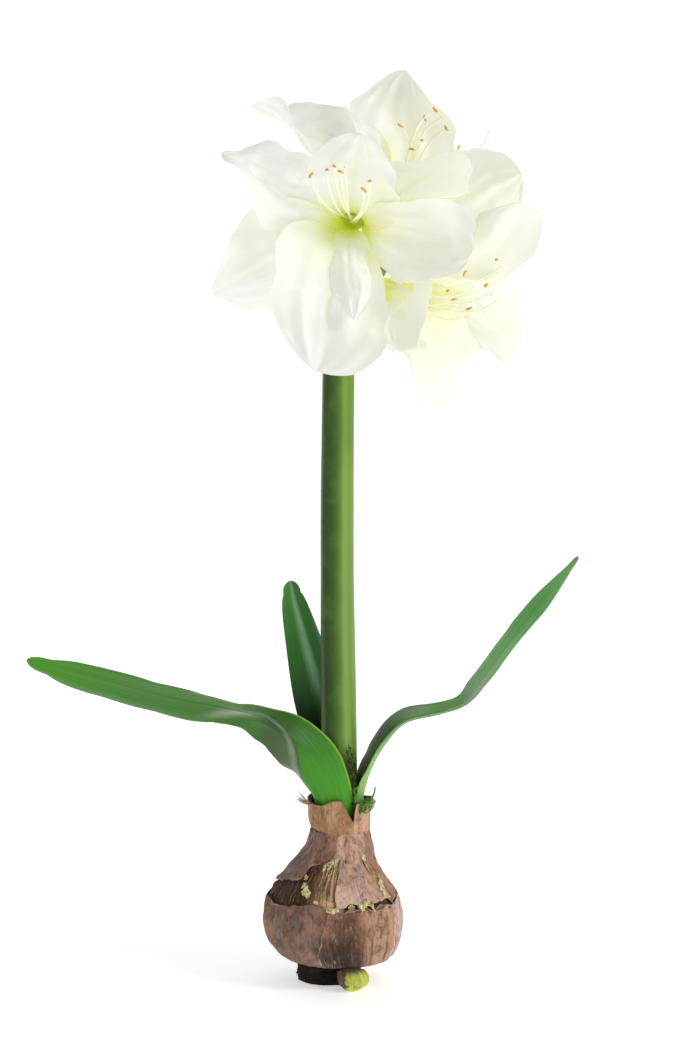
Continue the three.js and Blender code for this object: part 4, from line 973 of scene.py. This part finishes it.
# the heights of the skins' straight edges
LOWER_FROM, BROWN_FROM, UPPER_TO, COLLAR_TO = 14.5, 15.5, 107, 127.9
# how far the lower and the brown skin stand outside the bulb's outline, and how thick the sheets are
LOWER_LIFT, BROWN_LIFT = 2.0, 2.7
SKIN_THICK, SHRED_THICK = 0.45, 0.4

# Loose fibres: material, how many, degrees between, heights between, lift, seed, radius, length, lean.
WHISKERS = [
    (6, 20, (-108, -86), (62, 88), 0.9, 740, 0.16, (4, 14), 0.9),
    (1, 60, (-126, -84), (61, 87), 0.7, 750, 0.26, (5, 18), 0.9),
    (1, 90, (-178, -128), (60, 76), 0.6, 760, 0.24, (2, 7), 0.9),
    (7, 26, (-107, -84), (15.5, 22), 3.2, 770, 0.12, (1.5, 5), 0.3),
]


def upper_lift(angle, height):
    left_lobe = smooth(np.cos(angle + math.radians(155)), 0.85, 0.97)
    standing = lerp(1.6, 0.7, smooth(height, 78, 90)) + 0.2 * np.sin(5 * angle)
    return standing + 2.2 * left_lobe * smooth(height, 92, 84) - neck_in(angle, height)


def collar_lift(angle, height):
    standing = 0.5 + 1.4 * smooth(height, 106, 113) * smooth(height, 128, 119)
    return standing + 0.35 * np.sin(7 * angle - 0.28 * height) - neck_in(angle, height)


def patch_lift(angle, height):
    return lerp(0.1, 1.3, smooth(height, 90, 76)) + 0.7 * smooth(height, 74, 62)


def all_round(level):
    """An edge of one height all round the bulb."""
    return [(0, level), (180, level)]


def build_bulb():
    """The fibrous body, and over it five torn skins with their flakes, strands and fibres."""
    looks = [skin_material(*colours, zones, **others) for *colours, zones, others in SKIN_LOOKS]
    looks += [moss_material("dry_strands", "b98d78", "dcb8a4"), flake_material(),
              moss_material("dry_rootlets", "b7ae98", "ded8c6")]
    make("bulb_body", [(bulb_body(), 0)], [fibrous_material()], ["bulb"])
    patches = [
        skin_patch(all_round(LOWER_FROM), LOWER_TOP, lambda angle, height: LOWER_LIFT, 40,
                   torn=(False, True)),
        skin_patch(all_round(BROWN_FROM), BROWN_TOP, lambda angle, height: BROWN_LIFT, 70,
                   ((-106, -33), (-93, -27)), 150, torn=(True, True)),
        skin_patch(UPPER_BOTTOM, all_round(UPPER_TO), upper_lift, 50),
        skin_patch(PATCH_BOTTOM, PATCH_TOP, patch_lift, 80, ((-87, -26), (-83, -26)), 130, flare=0.4),
        skin_patch(COLLAR_BOTTOM, all_round(COLLAR_TO), collar_lift, 60, columns=280, rows=26, flare=0.1,
                   tear=0.35),
    ]
    skins = [(patch, look) for look, patch in enumerate(patches)]
    skins += [(shape, 5) for shape in neck_strands()]
    skins += [(shred(path, width, 700 + 10 * k), 6) for k, (path, width) in enumerate(FLAKES)]
    for look, *fibres in WHISKERS:
        skins += [(shape, look) for shape in whiskers(*fibres)]
    make("bulb_skins", skins, looks, ["bulb"])


def build_plate():
    """Corky root plate with the stubs of old roots on its rim."""
    x, radius, top = PLATE["x"], PLATE["radius"], PLATE["height"]
    angle = full_turn(144)[None, :]
    profile = spline([
        (2, 0), (PLATE["waist"] * radius - 1.2, 0), (radius * 0.965, 0.8), (radius, top * 0.3),
        (radius * 0.98, top * 0.6), (radius, top - 0.7), (radius - 1, top),
    ], even(50))
    reach, level = profile[:, :1], np.clip(profile[:, 1:], 0, top)
    relief = rough(turned(angle) * 30, level / 3.5, 81, 30, 4) * 0.55 - 0.35
    reach = reach + smooth(reach, 18, 21.5) * relief
    rings = np.stack([x + reach * np.cos(angle), reach * np.sin(angle), level + 0 * angle], -1)
    random = np.random.default_rng(SEED + 82)
    shapes = [(loft(rings), 0)]
    for _ in range(ROOT_STUBS):
        turn, low = random.uniform(0, 2 * np.pi), random.uniform(2.5, 9)
        way = np.array([math.cos(turn), math.sin(turn), 0])
        start = np.array([x, 0, low]) + way * (radius - 2.5)
        droop = np.array([0, 0, -random.uniform(0.2, 1.4)])
        line = spline([start, start + way * 2.2, start + way * 3 + droop], even(8))
        shapes.append((tube(line, np.linspace(1.3, 0.5, 8) * random.uniform(0.7, 1.1), 8), 0))
    make("root_plate", shapes, [cork_material()], ["basal_plate"])


def build_bulblet():
    """A lopsided daughter bulb, pressed up against the bulb's underside."""
    u = even(60)
    radius, height, right, back = (column(BULBLET_OUTLINE, k, u)[:, None] for k in range(4))
    angle, u = full_turn(96)[None, :], u[:, None]
    reach = radius * (1 + 0.07 * np.sin(3 * angle + 2 * u))
    reach += 0.3 * rough(turned(angle) * 14, height / 9, 91, 14) * smooth(u, 0, 0.15)
    reach -= 0.5 * np.exp(-((angle - 4.35 - 0.02 * height) / 0.05) ** 2) * smooth(u, 0.05, 0.2)
    x = BULBLET_AT[0] + right + reach * np.cos(angle)
    y = BULBLET_AT[1] + back + reach * np.sin(angle)
    z = np.maximum(height + 0 * angle, 0)
    from_axis = np.hypot(x - BULB_OUTLINE[1][2], y)
    underside, heights, _ = zip(*BULB_OUTLINE[:4])
    z = np.minimum(z, np.where(from_axis < 45, np.interp(from_axis, underside, heights) - UNDER_SKINS, 99))
    make("offset_bulblet_skin", [(loft(np.stack([x, y, z], -1)), 0)], [bulblet_material()],
         ["offset_bulblet"])


# ---- scape and leaves ---------------------------------------------------------------------------

def build_scape():
    """Thick stem, a little fluted."""
    u = even(161)
    centre, radius = spline([row[:3] for row in SCAPE_LINE], u), column(SCAPE_LINE, 3, u)
    angle, u = full_turn(80)[None, :], u[:, None]
    flutes = 0.16 * np.sin(7 * angle + 1.2 * u) + 0.12 * noise(turned(angle) * 26, 5 * u, 101, 26)
    reach = radius[:, None] + flutes + 0.18 * noise(u * 7, 1.5, 103)
    rings = centre[:, None] + np.stack([reach * np.cos(angle), reach * np.sin(angle), 0 * reach], -1)
    make("scape_stem", [(loft(rings), 0)], [scape_material()], ["scape"])


def leaf_grid(stations, rows, wave, blunt_from, seed):
    """Middle surface of a strap leaf: at each place its section is a curled line with a soft crease."""
    S, T = over_sheet(rows, LEAF_COLUMNS)
    s = S[:, 0]
    points = [station[:3] for station in stations]
    centre = spline(points, s)
    step = 1e-4
    along = unit(spline(points, np.minimum(s + step, 1)) - spline(points, np.maximum(s - step, 0)))
    width, roll, curl, crease, fold = (column(stations, k, s) for k in range(3, 8))
    in_plane = unit(np.stack([-along[:, 2], 0 * s, along[:, 0]], 1))
    roll = np.radians(roll)[:, None]
    across = in_plane * np.cos(roll) + np.array([0, 1, 0]) * np.sin(roll)
    across = unit(across - along * (across * along).sum(1, keepdims=True))
    normal = np.cross(along, across)
    past_blunt = np.clip((s - blunt_from) / (1 - blunt_from), 0, 1)
    rounded = np.interp(blunt_from, s, width) * np.sqrt(1 - past_blunt**2)
    width = np.where(s > blunt_from, rounded, width)
    half = np.maximum(0.8, width / 2)[:, None]
    crease = crease[:, None] * half
    fold = np.radians(fold)[:, None]
    past = lambda u: smooth(u, crease - CREASE_SOFTNESS, crease + CREASE_SOFTNESS)
    between = (T[:, 1:] + T[:, :-1]) / 2 * half
    slope = curl[:, None] * between - fold * (past(between) - past(0 * half))
    parts = (np.cumsum(part * np.diff(T) * half, 1) for part in (np.cos(slope), np.sin(slope)))
    run, lift = (np.concatenate([0 * half, part], 1) for part in parts)
    run, lift = (line - line[:, LEAF_COLUMNS // 2, None] for line in (run, lift))
    ripple = wave * T**2 * np.sign(T) * np.sin(2 * np.pi * 3.1 * S + 0.8)
    lift += ripple * smooth(S, 0.3, 0.5) * (half / 20)
    # waves and a finer ripple of the edges, the groove over the midrib, and ribs
    lift += smooth(S, 0.12, 0.3) * (half / 16) * (
        0.55 * noise(S * 13, T * 1.5 + 7, seed) * T**2
        + 0.3 * noise(S * 34, T * 2 + 9, seed + 1) * np.abs(T) ** 5
        - 0.35 * np.exp(-((T * half / 1.3) ** 2))
        + 0.07 * np.sin(np.pi * 15 * T)
    )
    return centre[:, None] + across[:, None] * run[..., None] + normal[:, None] * lift[..., None]


def build_leaves():
    looks = {"left": left_leaf_material(), "right": right_leaf_material(), "back": back_leaf_material()}
    for number, (name, stations) in enumerate(LEAVES.items()):
        grid = leaf_grid(stations, *LEAF_FORM[name], 110 + 10 * number)
        s, t = over_sheet(LEAF_FORM[name][0], LEAF_COLUMNS)
        thickness = lerp(LEAF_THICK, LEAF_EDGE, np.maximum(np.abs(t) ** 1.6, smooth(s, 0.7, 1)))
        make(f"leaf_{name}_blade", [(sheet(grid, thickness), 0)], [looks[name]], [f"leaf_{name}"])


# ---- blooms -------------------------------------------------------------------------------------

def bloom_frame(name):
    foot, axis = np.array(BLOOMS[name]["foot"], float), unit(BLOOMS[name]["axis"])
    up = np.array([0, 0, 1.0]) if abs(axis[2]) < 0.9 else np.array([0, 1.0, 0])
    up = unit(up - axis * (up @ axis))
    return foot, axis, up, np.cross(up, axis)


def parted(name, points, s, clear=PARTING_CLEAR):
    """Moves points of a bloom off the planes where it presses against its neighbours."""
    weight = smooth(s, 0.12, 0.32)
    for _ in range(PARTING_PASSES):
        for near, far, place, way in PARTINGS:
            if name not in (near, far):
                continue
            normal = unit(way) * (1 if name == near else -1)
            distance = (np.array(place) - points) @ normal
            reach = PARTING_REACH - clear
            kept = clear + reach * np.exp(np.minimum((distance - PARTING_REACH) / reach, 0))
            push = np.where(distance < PARTING_REACH, distance - kept, 0) * weight
            points = points + push[..., None] * normal
    return points


def tepal_grid(name, number):
    """Middle surface of a tepal, from the tube out to its waved and nibbled edges."""
    foot, axis, up, right = bloom_frame(name)
    (azimuth, length, width, spread, curl, twist, tip_twist, cup, roll, wave, phase, sway,
     low, high, layer) = BLOOMS[name]["tepals"][number]
    S, T = over_sheet(TEPAL_ROWS, TEPAL_COLUMNS)
    s, edge, later = S[:, 0], np.abs(T), T > 0
    turn = math.radians(azimuth)
    outward = math.cos(turn) * up + math.sin(turn) * right
    around = -math.sin(turn) * up + math.cos(turn) * right
    opened = np.radians(lerp(TEPAL["tube_angle"], spread, smooth(s, 0.06, 0.5))
                        + curl * np.maximum(0, (s - 0.4) / 0.6) ** 1.5)[:, None]
    along = np.sin(opened) * outward + np.cos(opened) * axis
    inward = -np.cos(opened) * outward + np.sin(opened) * axis
    steps = (along[1:] + along[:-1]) / 2 * length / TEPAL_ROWS
    centre = foot + outward * TEPAL["from_axis"][number % 2] + np.vstack([np.zeros(3), np.cumsum(steps, 0)])
    centre = centre + around * sway * smooth(s, 0.35, 1)[:, None]
    turned_by = np.radians(twist * smooth(s, 0.1, 0.5) + (tip_twist - twist) * smooth(s, 0.5, 0.95))[:, None]
    side = around * np.cos(turned_by) + inward * np.sin(turned_by)
    face = -around * np.sin(turned_by) + inward * np.cos(turned_by)
    reach = centre - foot
    from_axis = np.linalg.norm(reach - np.outer(reach @ axis, axis), axis=1)
    peak = (low / (low + high)) ** low * (high / (low + high)) ** high
    edge_line = width / 2 * s**low * (1 - s) ** high / peak
    half = lerp(from_axis * TEPAL["tube_share"], edge_line, smooth(s, 0.12, 0.42))
    half = np.maximum(half, TEPAL_TIP)[:, None]
    curve = lerp(1 / from_axis, 2 * cup / width, smooth(s, 0.12, 0.5))[:, None]
    seed = 200 + 10 * number + 100 * list(BLOOMS).index(name)
    nibbled = sum(size * noise(S * cells, later * 5.0 + shift, seed + 4 + k)
                  for k, (size, cells, shift) in enumerate(NIBBLES))
    across = half * T * (1 + nibbled * edge**2 * smooth(S, 0.3, 0.6))
    blade = half / (width / 2)
    lift = (1 - np.cos(curve * across)) / curve
    lift -= roll * blade * smooth(edge, 0.45, 1) * smooth(S, 0.3, 0.8)
    lift += wave * blade * edge**2 * np.sin(2 * np.pi * 1.6 * S + phase + 1.3 * later) * smooth(S, 0.25, 0.6)
    finer = np.sin(2 * np.pi * 4.3 * S + 2 * phase + 2.1 * later)
    lift += 0.35 * wave * blade * edge**4 * finer * smooth(S, 0.4, 0.7)
    lift -= MIDRIB_DEPTH * np.exp(-((across / MIDRIB_WIDTH) ** 2)) * smooth(S, 0.1, 0.4)
    lift += layer * smooth(S, 0.05, 0.3)
    # ribs along the blade, soft dents all over it, and crumpled edges
    lift += smooth(S, 0.25, 0.5) * blade * (
        width / 110 * np.cos(np.pi * 5 * T + phase + 1.5 * np.sin(5 * S)) * smooth(edge, 1.0, 0.6)
        + 0.9 * noise(S * 9, T * 2.2 + 11, seed)
        + 0.35 * noise(S * 22, T * 6 + 21, seed + 3)
        + 2.1 * noise(S * 13, later * 5.0 + 3.5, seed + 1) * edge**3
        + 0.8 * noise(S * 30, later * 5.0 + 8.5, seed + 2) * edge**6
    )
    # sharp folds, where the noise changes its sign
    folds = 4.4 * (0.5 - np.abs(noise(S * 4.2 + 3, T * 1.5 + 7, seed + 8)))
    folds += 1.6 * (0.5 - np.abs(noise(S * 9, T * 3 + 5, seed + 9)))
    lift += smooth(S, 0.3, 0.6) * blade * folds
    points = centre[:, None] + side[:, None] * (np.sin(curve * across) / curve)[..., None]
    points = points + face[:, None] * lift[..., None]
    return parted(name, points, S, PARTING_CLEAR + PARTING_LAYER * abs(number - 3))


def tepal_shape(name, number):
    s, t = over_sheet(TEPAL_ROWS, TEPAL_COLUMNS)
    thickness = lerp(1.1, 0.6, smooth(s, 0, 0.3)) * lerp(1, 0.5, smooth(np.abs(t), 0.2, 1))
    return sheet(tepal_grid(name, number), thickness)


def foot_disc(name, radius, start, thickness, sides=32):
    """A disc with rounded rims on the foot of a bloom, looking along its axis."""
    foot, axis, up, right = bloom_frame(name)
    angle = full_turn(sides)[:, None]
    ring = radius * (np.cos(angle) * right + np.sin(angle) * up)
    rings = [foot + axis * (start + level * thickness) + share * ring for share, level in DISC_PROFILE]
    return loft(np.array(rings), np.zeros(len(DISC_PROFILE)))


def bezier(p0, p1, p2, p3, u):
    u = u[:, None]
    return (1 - u) ** 3 * p0 + 3 * u * (1 - u) ** 2 * p1 + 3 * u**2 * (1 - u) * p2 + u**3 * p3


def filament_line(name, root, tip):
    """A filament leaves the tube along its axis and sweeps up to its tip, clear of the next bloom."""
    foot, axis, _, _ = bloom_frame(name)
    reach = np.linalg.norm(tip - foot)
    off_axis = tip - foot
    off_axis = off_axis - axis * (off_axis @ axis)
    lift = np.array([0, 0, 1.0]) if abs(axis[2]) < 0.9 else unit(off_axis)
    arriving = unit(axis * 0.6 + lift * 0.8)
    knots = even(FILAMENT_KNOTS + 1)
    leaving = root + axis * reach * 0.42 + off_axis * 0.12
    points = bezier(root, leaving, tip - arriving * reach * 0.3, tip, knots)
    return spline(parted(name, points, knots), even(FILAMENT_POINTS))


def anther_shape(tip, way, seed):
    """A small curved anther of two lobes, balanced on the filament's end."""
    random = np.random.default_rng(SEED + seed)
    lean = unit(way * 0.35 + random.normal(size=3) * 0.8)
    bend = unit(np.cross(lean, random.normal(size=3)))
    u = np.linspace(-1, 1, 15)[:, None]
    line = tip + lean * u * ANTHER_LENGTH / 2 + bend * (u**2 - 0.4) * ANTHER_LENGTH * 0.14
    radii = ANTHER_RADIUS * np.sqrt(np.maximum(1 - np.abs(u[:, 0]) ** 2.6, 0.03))
    return tube(line, radii, 12, 2, 0.16)


def stamen_shapes(name):
    """Six stamens with their anthers, and the style with its three stigma lobes."""
    bloom = BLOOMS[name]
    foot, axis, up, right = bloom_frame(name)
    start = CUP_THICK + FIT_GAP
    shapes = [(foot_disc(name, STAMEN_ROOT_RADIUS, start, STAMEN_ROOT_HEIGHT, 24), 0)]
    tips = [*bloom["stamens"], bloom["stigma"]]
    for k, values in enumerate(tips):
        tip = np.array(values, float)
        turn = 2 * np.pi * k / (len(tips) - 1)
        last = k == len(tips) - 1
        out = 0 if last else STAMEN_ROOT_RADIUS * 0.6
        side = math.cos(turn) * up + math.sin(turn) * right
        root = foot + axis * (start + STAMEN_ROOT_HEIGHT / 2) + out * side
        line = filament_line(name, root, tip)
        shapes.append((tube(line, np.linspace(*FILAMENT_RADII, FILAMENT_POINTS), 9), 0))
        way = unit(line[-1] - line[-3])
        if last:
            first, second = frames_along(line[-3:])
            for angle in full_turn(3):
                out = first[-1] * math.cos(angle) + second[-1] * math.sin(angle)
                arm = spline([tip - way * 0.5, tip + way * 0.6 + out * 0.7, tip + way * 1.0 + out * 1.7],
                             even(7))
                shapes.append((tube(arm, np.linspace(0.45, 0.32, 7), 8), 0))
        else:
            shapes.append((anther_shape(tip, way, 400 + 10 * k + list(BLOOMS).index(name)), 1))
    return shapes


def pedicel_shape(name):
    """A stalk that swells to a ribbed ovary under its bloom."""
    foot, axis, _, _ = bloom_frame(name)
    (start_x, start_y), *bends = PEDICELS[name]
    base = np.array([start_x, start_y, SCAPE_LINE[-1][2] + FIT_GAP])
    end = foot - axis * FIT_GAP
    length = PEDICEL["ovary_length"]
    line = spline([base, base + (0, 0, 4), *bends, end - axis * length, end - axis * length / 2, end],
                  even(72))
    run = np.concatenate([[0], np.cumsum(np.linalg.norm(np.diff(line, axis=0), axis=1))])
    to_end = (run[-1] - run) / length
    head = lerp(PEDICEL["neck"], PEDICEL["ovary"], smooth(to_end, 0, 0.5))
    swell = 1 - smooth(to_end, 0.7, 1.5)
    return tube(line, lerp(PEDICEL["radius"], head, swell), 30, 3, 0.07 * swell)


def build_blooms():
    white, filament = tepal_material(), filament_material()
    anther, green = anther_material(), pedicel_material()
    for name in BLOOMS:
        shapes = [(tepal_shape(name, number), 0) for number in range(6)]
        shapes.append((foot_disc(name, CUP_RADIUS, 0, CUP_THICK), 0))
        make(f"bloom_{name}_tepals", shapes, [white], [f"bloom_{name}"])
        make(f"stamens_{name}_fine", stamen_shapes(name), [filament, anther], [f"stamens_{name}"])
        make(f"pedicel_{name}_stalk", [(pedicel_shape(name), 0)], [green], [f"pedicel_{name}"])


def bract_shape(angle, reach, drop, seed):
    """A withered bract: it leaves the top edge of the scape, bends over and hangs beside it."""
    turn = math.radians(angle)
    out = np.array([math.cos(turn), math.sin(turn), 0])
    side = np.array([-math.sin(turn), math.cos(turn), 0])
    top_x, top_y, _, top_radius = SCAPE_LINE[-1]
    hug = top_radius + 2 * FIT_GAP + BRACT["thickness"] / 2
    knot = lambda away, level: np.array([top_x, top_y, level]) + out * away
    top = BRACT["top"]
    line = spline([
        knot(hug + 0.1, top - 18), knot(hug + 0.1, top - 10), knot(hug + 2, top - 3),
        knot(hug + reach * 0.45, top - 18 + BRACT["rise"]), knot(hug + reach * 0.7, top - drop * 0.75),
        knot(hug + reach * 0.6, top - 6 - drop),
    ], even(61))
    s, t = over_sheet(60, 26)
    half = np.maximum(0.8, BRACT["width"] / 2 * (1 - smooth(s, 0.35, 1)) + 0.5)
    bend = 1 / lerp(hug, 3 * hug, smooth(s, 0.2, 0.6))
    crumple = smooth(s, 0.3, 0.6) * (0.7 * noise(s * 12, t * 2.5 + 8, seed) + 0.3 * np.cos(9 * t))
    grid = (line[:, None] + side * (np.sin(bend * half * t) / bend)[..., None]
            + out * ((np.cos(bend * half * t) - 1) / bend + crumple)[..., None])
    return sheet(grid, 0.5)


def build_bracts():
    paper = bract_material()
    for number, (name, bract) in enumerate(BRACTS.items()):
        make(f"bract_{name}_paper", [(bract_shape(**bract, seed=500 + number), 0)], [paper],
             [f"bract_{name}"])


# ---- moss ---------------------------------------------------------------------------------------

def moss_sprig(line, radius, leaflets, seed):
    """A thin stem with small pointed leaves all along it."""
    random = np.random.default_rng(SEED + seed)
    shapes = [tube(line, np.linspace(radius, radius * 0.45, len(line)), 6)]
    first, second = frames_along(line)
    ways = unit(np.gradient(line, axis=0))
    for k in range(leaflets):
        i = int(random.uniform(0.12, 0.98) * (len(line) - 1))
        turn = 2.4 * k
        out = first[i] * math.cos(turn) + second[i] * math.sin(turn)
        length = random.uniform(1.1, 2.1)
        tip = line[i] + ways[i] * length * 0.8 + out * length * 0.55
        middle = line[i] + ways[i] * length * 0.35 + out * length * 0.4
        bow = spline([line[i], middle, tip], even(5))
        shapes.append(ribbon(bow, LEAFLET_WIDTHS, 0.1, 0.3, np.cross(ways[i], out), 2))
    return shapes


LEAFLET_WIDTHS = (0.25, 0.55, 0.5, 0.3, 0.08)

# Bright curly shoots over the rim, as points.
TENDRILS = [
    [(15, -12, 122), (18, -15, 127), (20.5, -17, 125.5), (24, -17, 129), (27, -16.5, 134), (29.4, -16, 139)],
    [(15, -12, 122), (17.5, -15, 126), (19.5, -18, 122.5), (23, -18, 122), (25.5, -17, 125),
     (24.5, -17, 128.5), (22, -17, 128)],
    [(15, -12, 122), (17, -15, 128), (20, -17, 130.5), (24, -17, 131.5), (27, -16, 129), (26.5, -16, 125),
     (24, -17, 123)],
    [(14, -13, 124), (15.5, -15.5, 131), (14.5, -16, 136), (16.5, -16, 139)],
]


def build_moss():
    """A tangle of dark sprigs behind the leaf's edge, and bright curly ones that hang over the rim."""
    random = np.random.default_rng(SEED + 600)
    stem, angle, radius = SCAPE_LINE[0][:2], MOSS["angle"], MOSS["radius"]
    shapes = []
    for k in range(SPRIGS):
        share = random.uniform(0, 1)
        drift, top = random.uniform(-26, 4), lerp(*SPRIG_TOPS, share**1.3)
        sway = random.normal(size=(5, 3)) * (7, 0.5, 0)
        start = random.uniform(110, 124)
        knots = [polar(*stem, angle, radius, start)]
        for i, (turn, out, _) in enumerate(sway, 1):
            up = i / len(sway)
            degrees = angle + drift * up + turn * min(1, up * 1.5)
            distance = radius - 0.6 + abs(out) + 0.5 * up
            knots.append(polar(*stem, degrees, distance, lerp(max(start, 125), top, up)))
        line = spline(knots, even(28))
        sprig = moss_sprig(line, SPRIG_RADIUS, SPRIG_LEAFLETS, 610 + k)
        shapes += [(shape, 1 if k % 9 == 4 else 0) for shape in sprig]
    for k, knots in enumerate(TENDRILS * 3):
        stray = spline([(0, 0, 0), *(random.normal(size=(4, 3)) * (0.9, 0.5, 1.1) * (k >= len(TENDRILS)))],
                       even(44))
        line = spline(knots, even(44)) + stray
        shapes += [(shape, 2) for shape in moss_sprig(line, TENDRIL_RADIUS, TENDRIL_LEAFLETS, 710 + k)]
    levels = (POCKET["floor"] + FIT_GAP, 115, MOSS["core_top"])
    post = spline([polar(*stem, angle, radius, level) for level in levels], even(12))
    looks = [moss_material("moss_dark", "15260f", "3f6a24"), moss_material("moss_orange", "7a4a1c", "c58a3a"),
             moss_material("moss_bright", "2f6a1c", "6fae3c")]
    make("moss_sprigs", [(tube(post, MOSS["core"], 10), 0)] + shapes, looks, ["moss_tuft"])


# ---- studio -------------------------------------------------------------------------------------

WORLD_STRENGTH, PAPER_GLOW = 0.38, 0.465
CAMERA_TARGET = (11.2, 0, 322)
CAMERA_DISTANCE, CAMERA_TILT, CAMERA_LENS, CAMERA_SENSOR = 1600, 4, 78.37, 36

# Each light, in metres: name, place, size, power and colour.
LIGHTS = [
    ("key", (2.1, -1.15, 1.7), 0.8, 25, (1, 0.985, 0.955)),
    ("fill", (-2.2, -1.8, 1.2), 1.6, 2.5, (1, 1, 1)),
]
LIGHTS_AIM = (0, 0, 0.3)

# The floor, in metres: half its width, how far it reaches to the front, and the bend up into the backdrop.
FLOOR = dict(half=6.0, front=4.0, bend_from=1.6, bend_radius=1.2, top=5.0)


def aimed(name, data, location, way):
    """An object for a camera or a lamp that looks along way."""
    made = bpy.data.objects.new(name, data)
    made.location = location
    made.rotation_mode = "QUATERNION"
    made.rotation_quaternion = way.to_track_quat("-Z", "Y")
    bpy.context.scene.collection.objects.link(made)
    return made


def add_camera():
    tilt = math.radians(CAMERA_TILT)
    back = Vector((0, -math.cos(tilt), math.sin(tilt)))
    data = bpy.data.cameras.new("camera")
    data.lens, data.sensor_width = CAMERA_LENS, CAMERA_SENSOR
    location = (Vector(CAMERA_TARGET) + back * CAMERA_DISTANCE) * MM
    bpy.context.scene.camera = aimed("camera", data, location, -back)


def add_light(name, location, size, power, colour):
    light = bpy.data.lights.new(name, "AREA")
    light.shape, light.size, light.energy, light.color = "DISK", size, power, colour
    aimed(name, light, location, Vector(LIGHTS_AIM) - Vector(location))


def add_studio():
    """Pale floor that sweeps up into the backdrop, and soft light from the upper right."""
    half, front, start, radius, top = FLOOR.values()
    turn = np.linspace(0, math.pi / 2, 24)
    profile = [(-front, 0.0)] + [(start + radius * math.sin(a), radius * (1 - math.cos(a))) for a in turn]
    profile.append((start + radius, top))
    points = [(x, y, z) for y, z in profile for x in (-half, half)]
    faces = [(2 * i, 2 * i + 1, 2 * i + 3, 2 * i + 2) for i in range(len(profile) - 1)]
    mesh = bpy.data.meshes.new("studio_floor")
    mesh.from_pydata(points, [], faces)
    mesh.polygons.foreach_set("use_smooth", [True] * len(faces))
    p = Paint("studio_paper")
    p.base("fbfbfa", "f8f8f7", p.noise(6, 2), 0.3, 0.7)
    mesh.materials.append(p.finish(0.9, Specular_IOR_Level=0.1, Emission_Color=(1, 1, 1, 1),
                                   Emission_Strength=PAPER_GLOW))
    floor = bpy.data.objects.new("studio_floor", mesh)
    bpy.context.scene.collection.objects.link(floor)
    floor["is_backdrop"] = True

    world = bpy.data.worlds.new("studio")
    world.use_nodes = True
    background = world.node_tree.nodes["Background"]
    background.inputs["Color"].default_value = (1, 1, 1, 1)
    background.inputs["Strength"].default_value = WORLD_STRENGTH
    bpy.context.scene.world = world
    for light in LIGHTS:
        add_light(*light)
    bpy.context.scene.view_settings.view_transform = "Standard"


# ---- the plant ----------------------------------------------------------------------------------

add_camera()
add_studio()
build_plate()
build_bulb()
build_bulblet()
build_scape()
build_leaves()
build_moss()
build_bracts()
build_blooms()

({"cad": [list(corner) for corner in BOX_BEFORE],
           "visual": [list(corner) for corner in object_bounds()]})
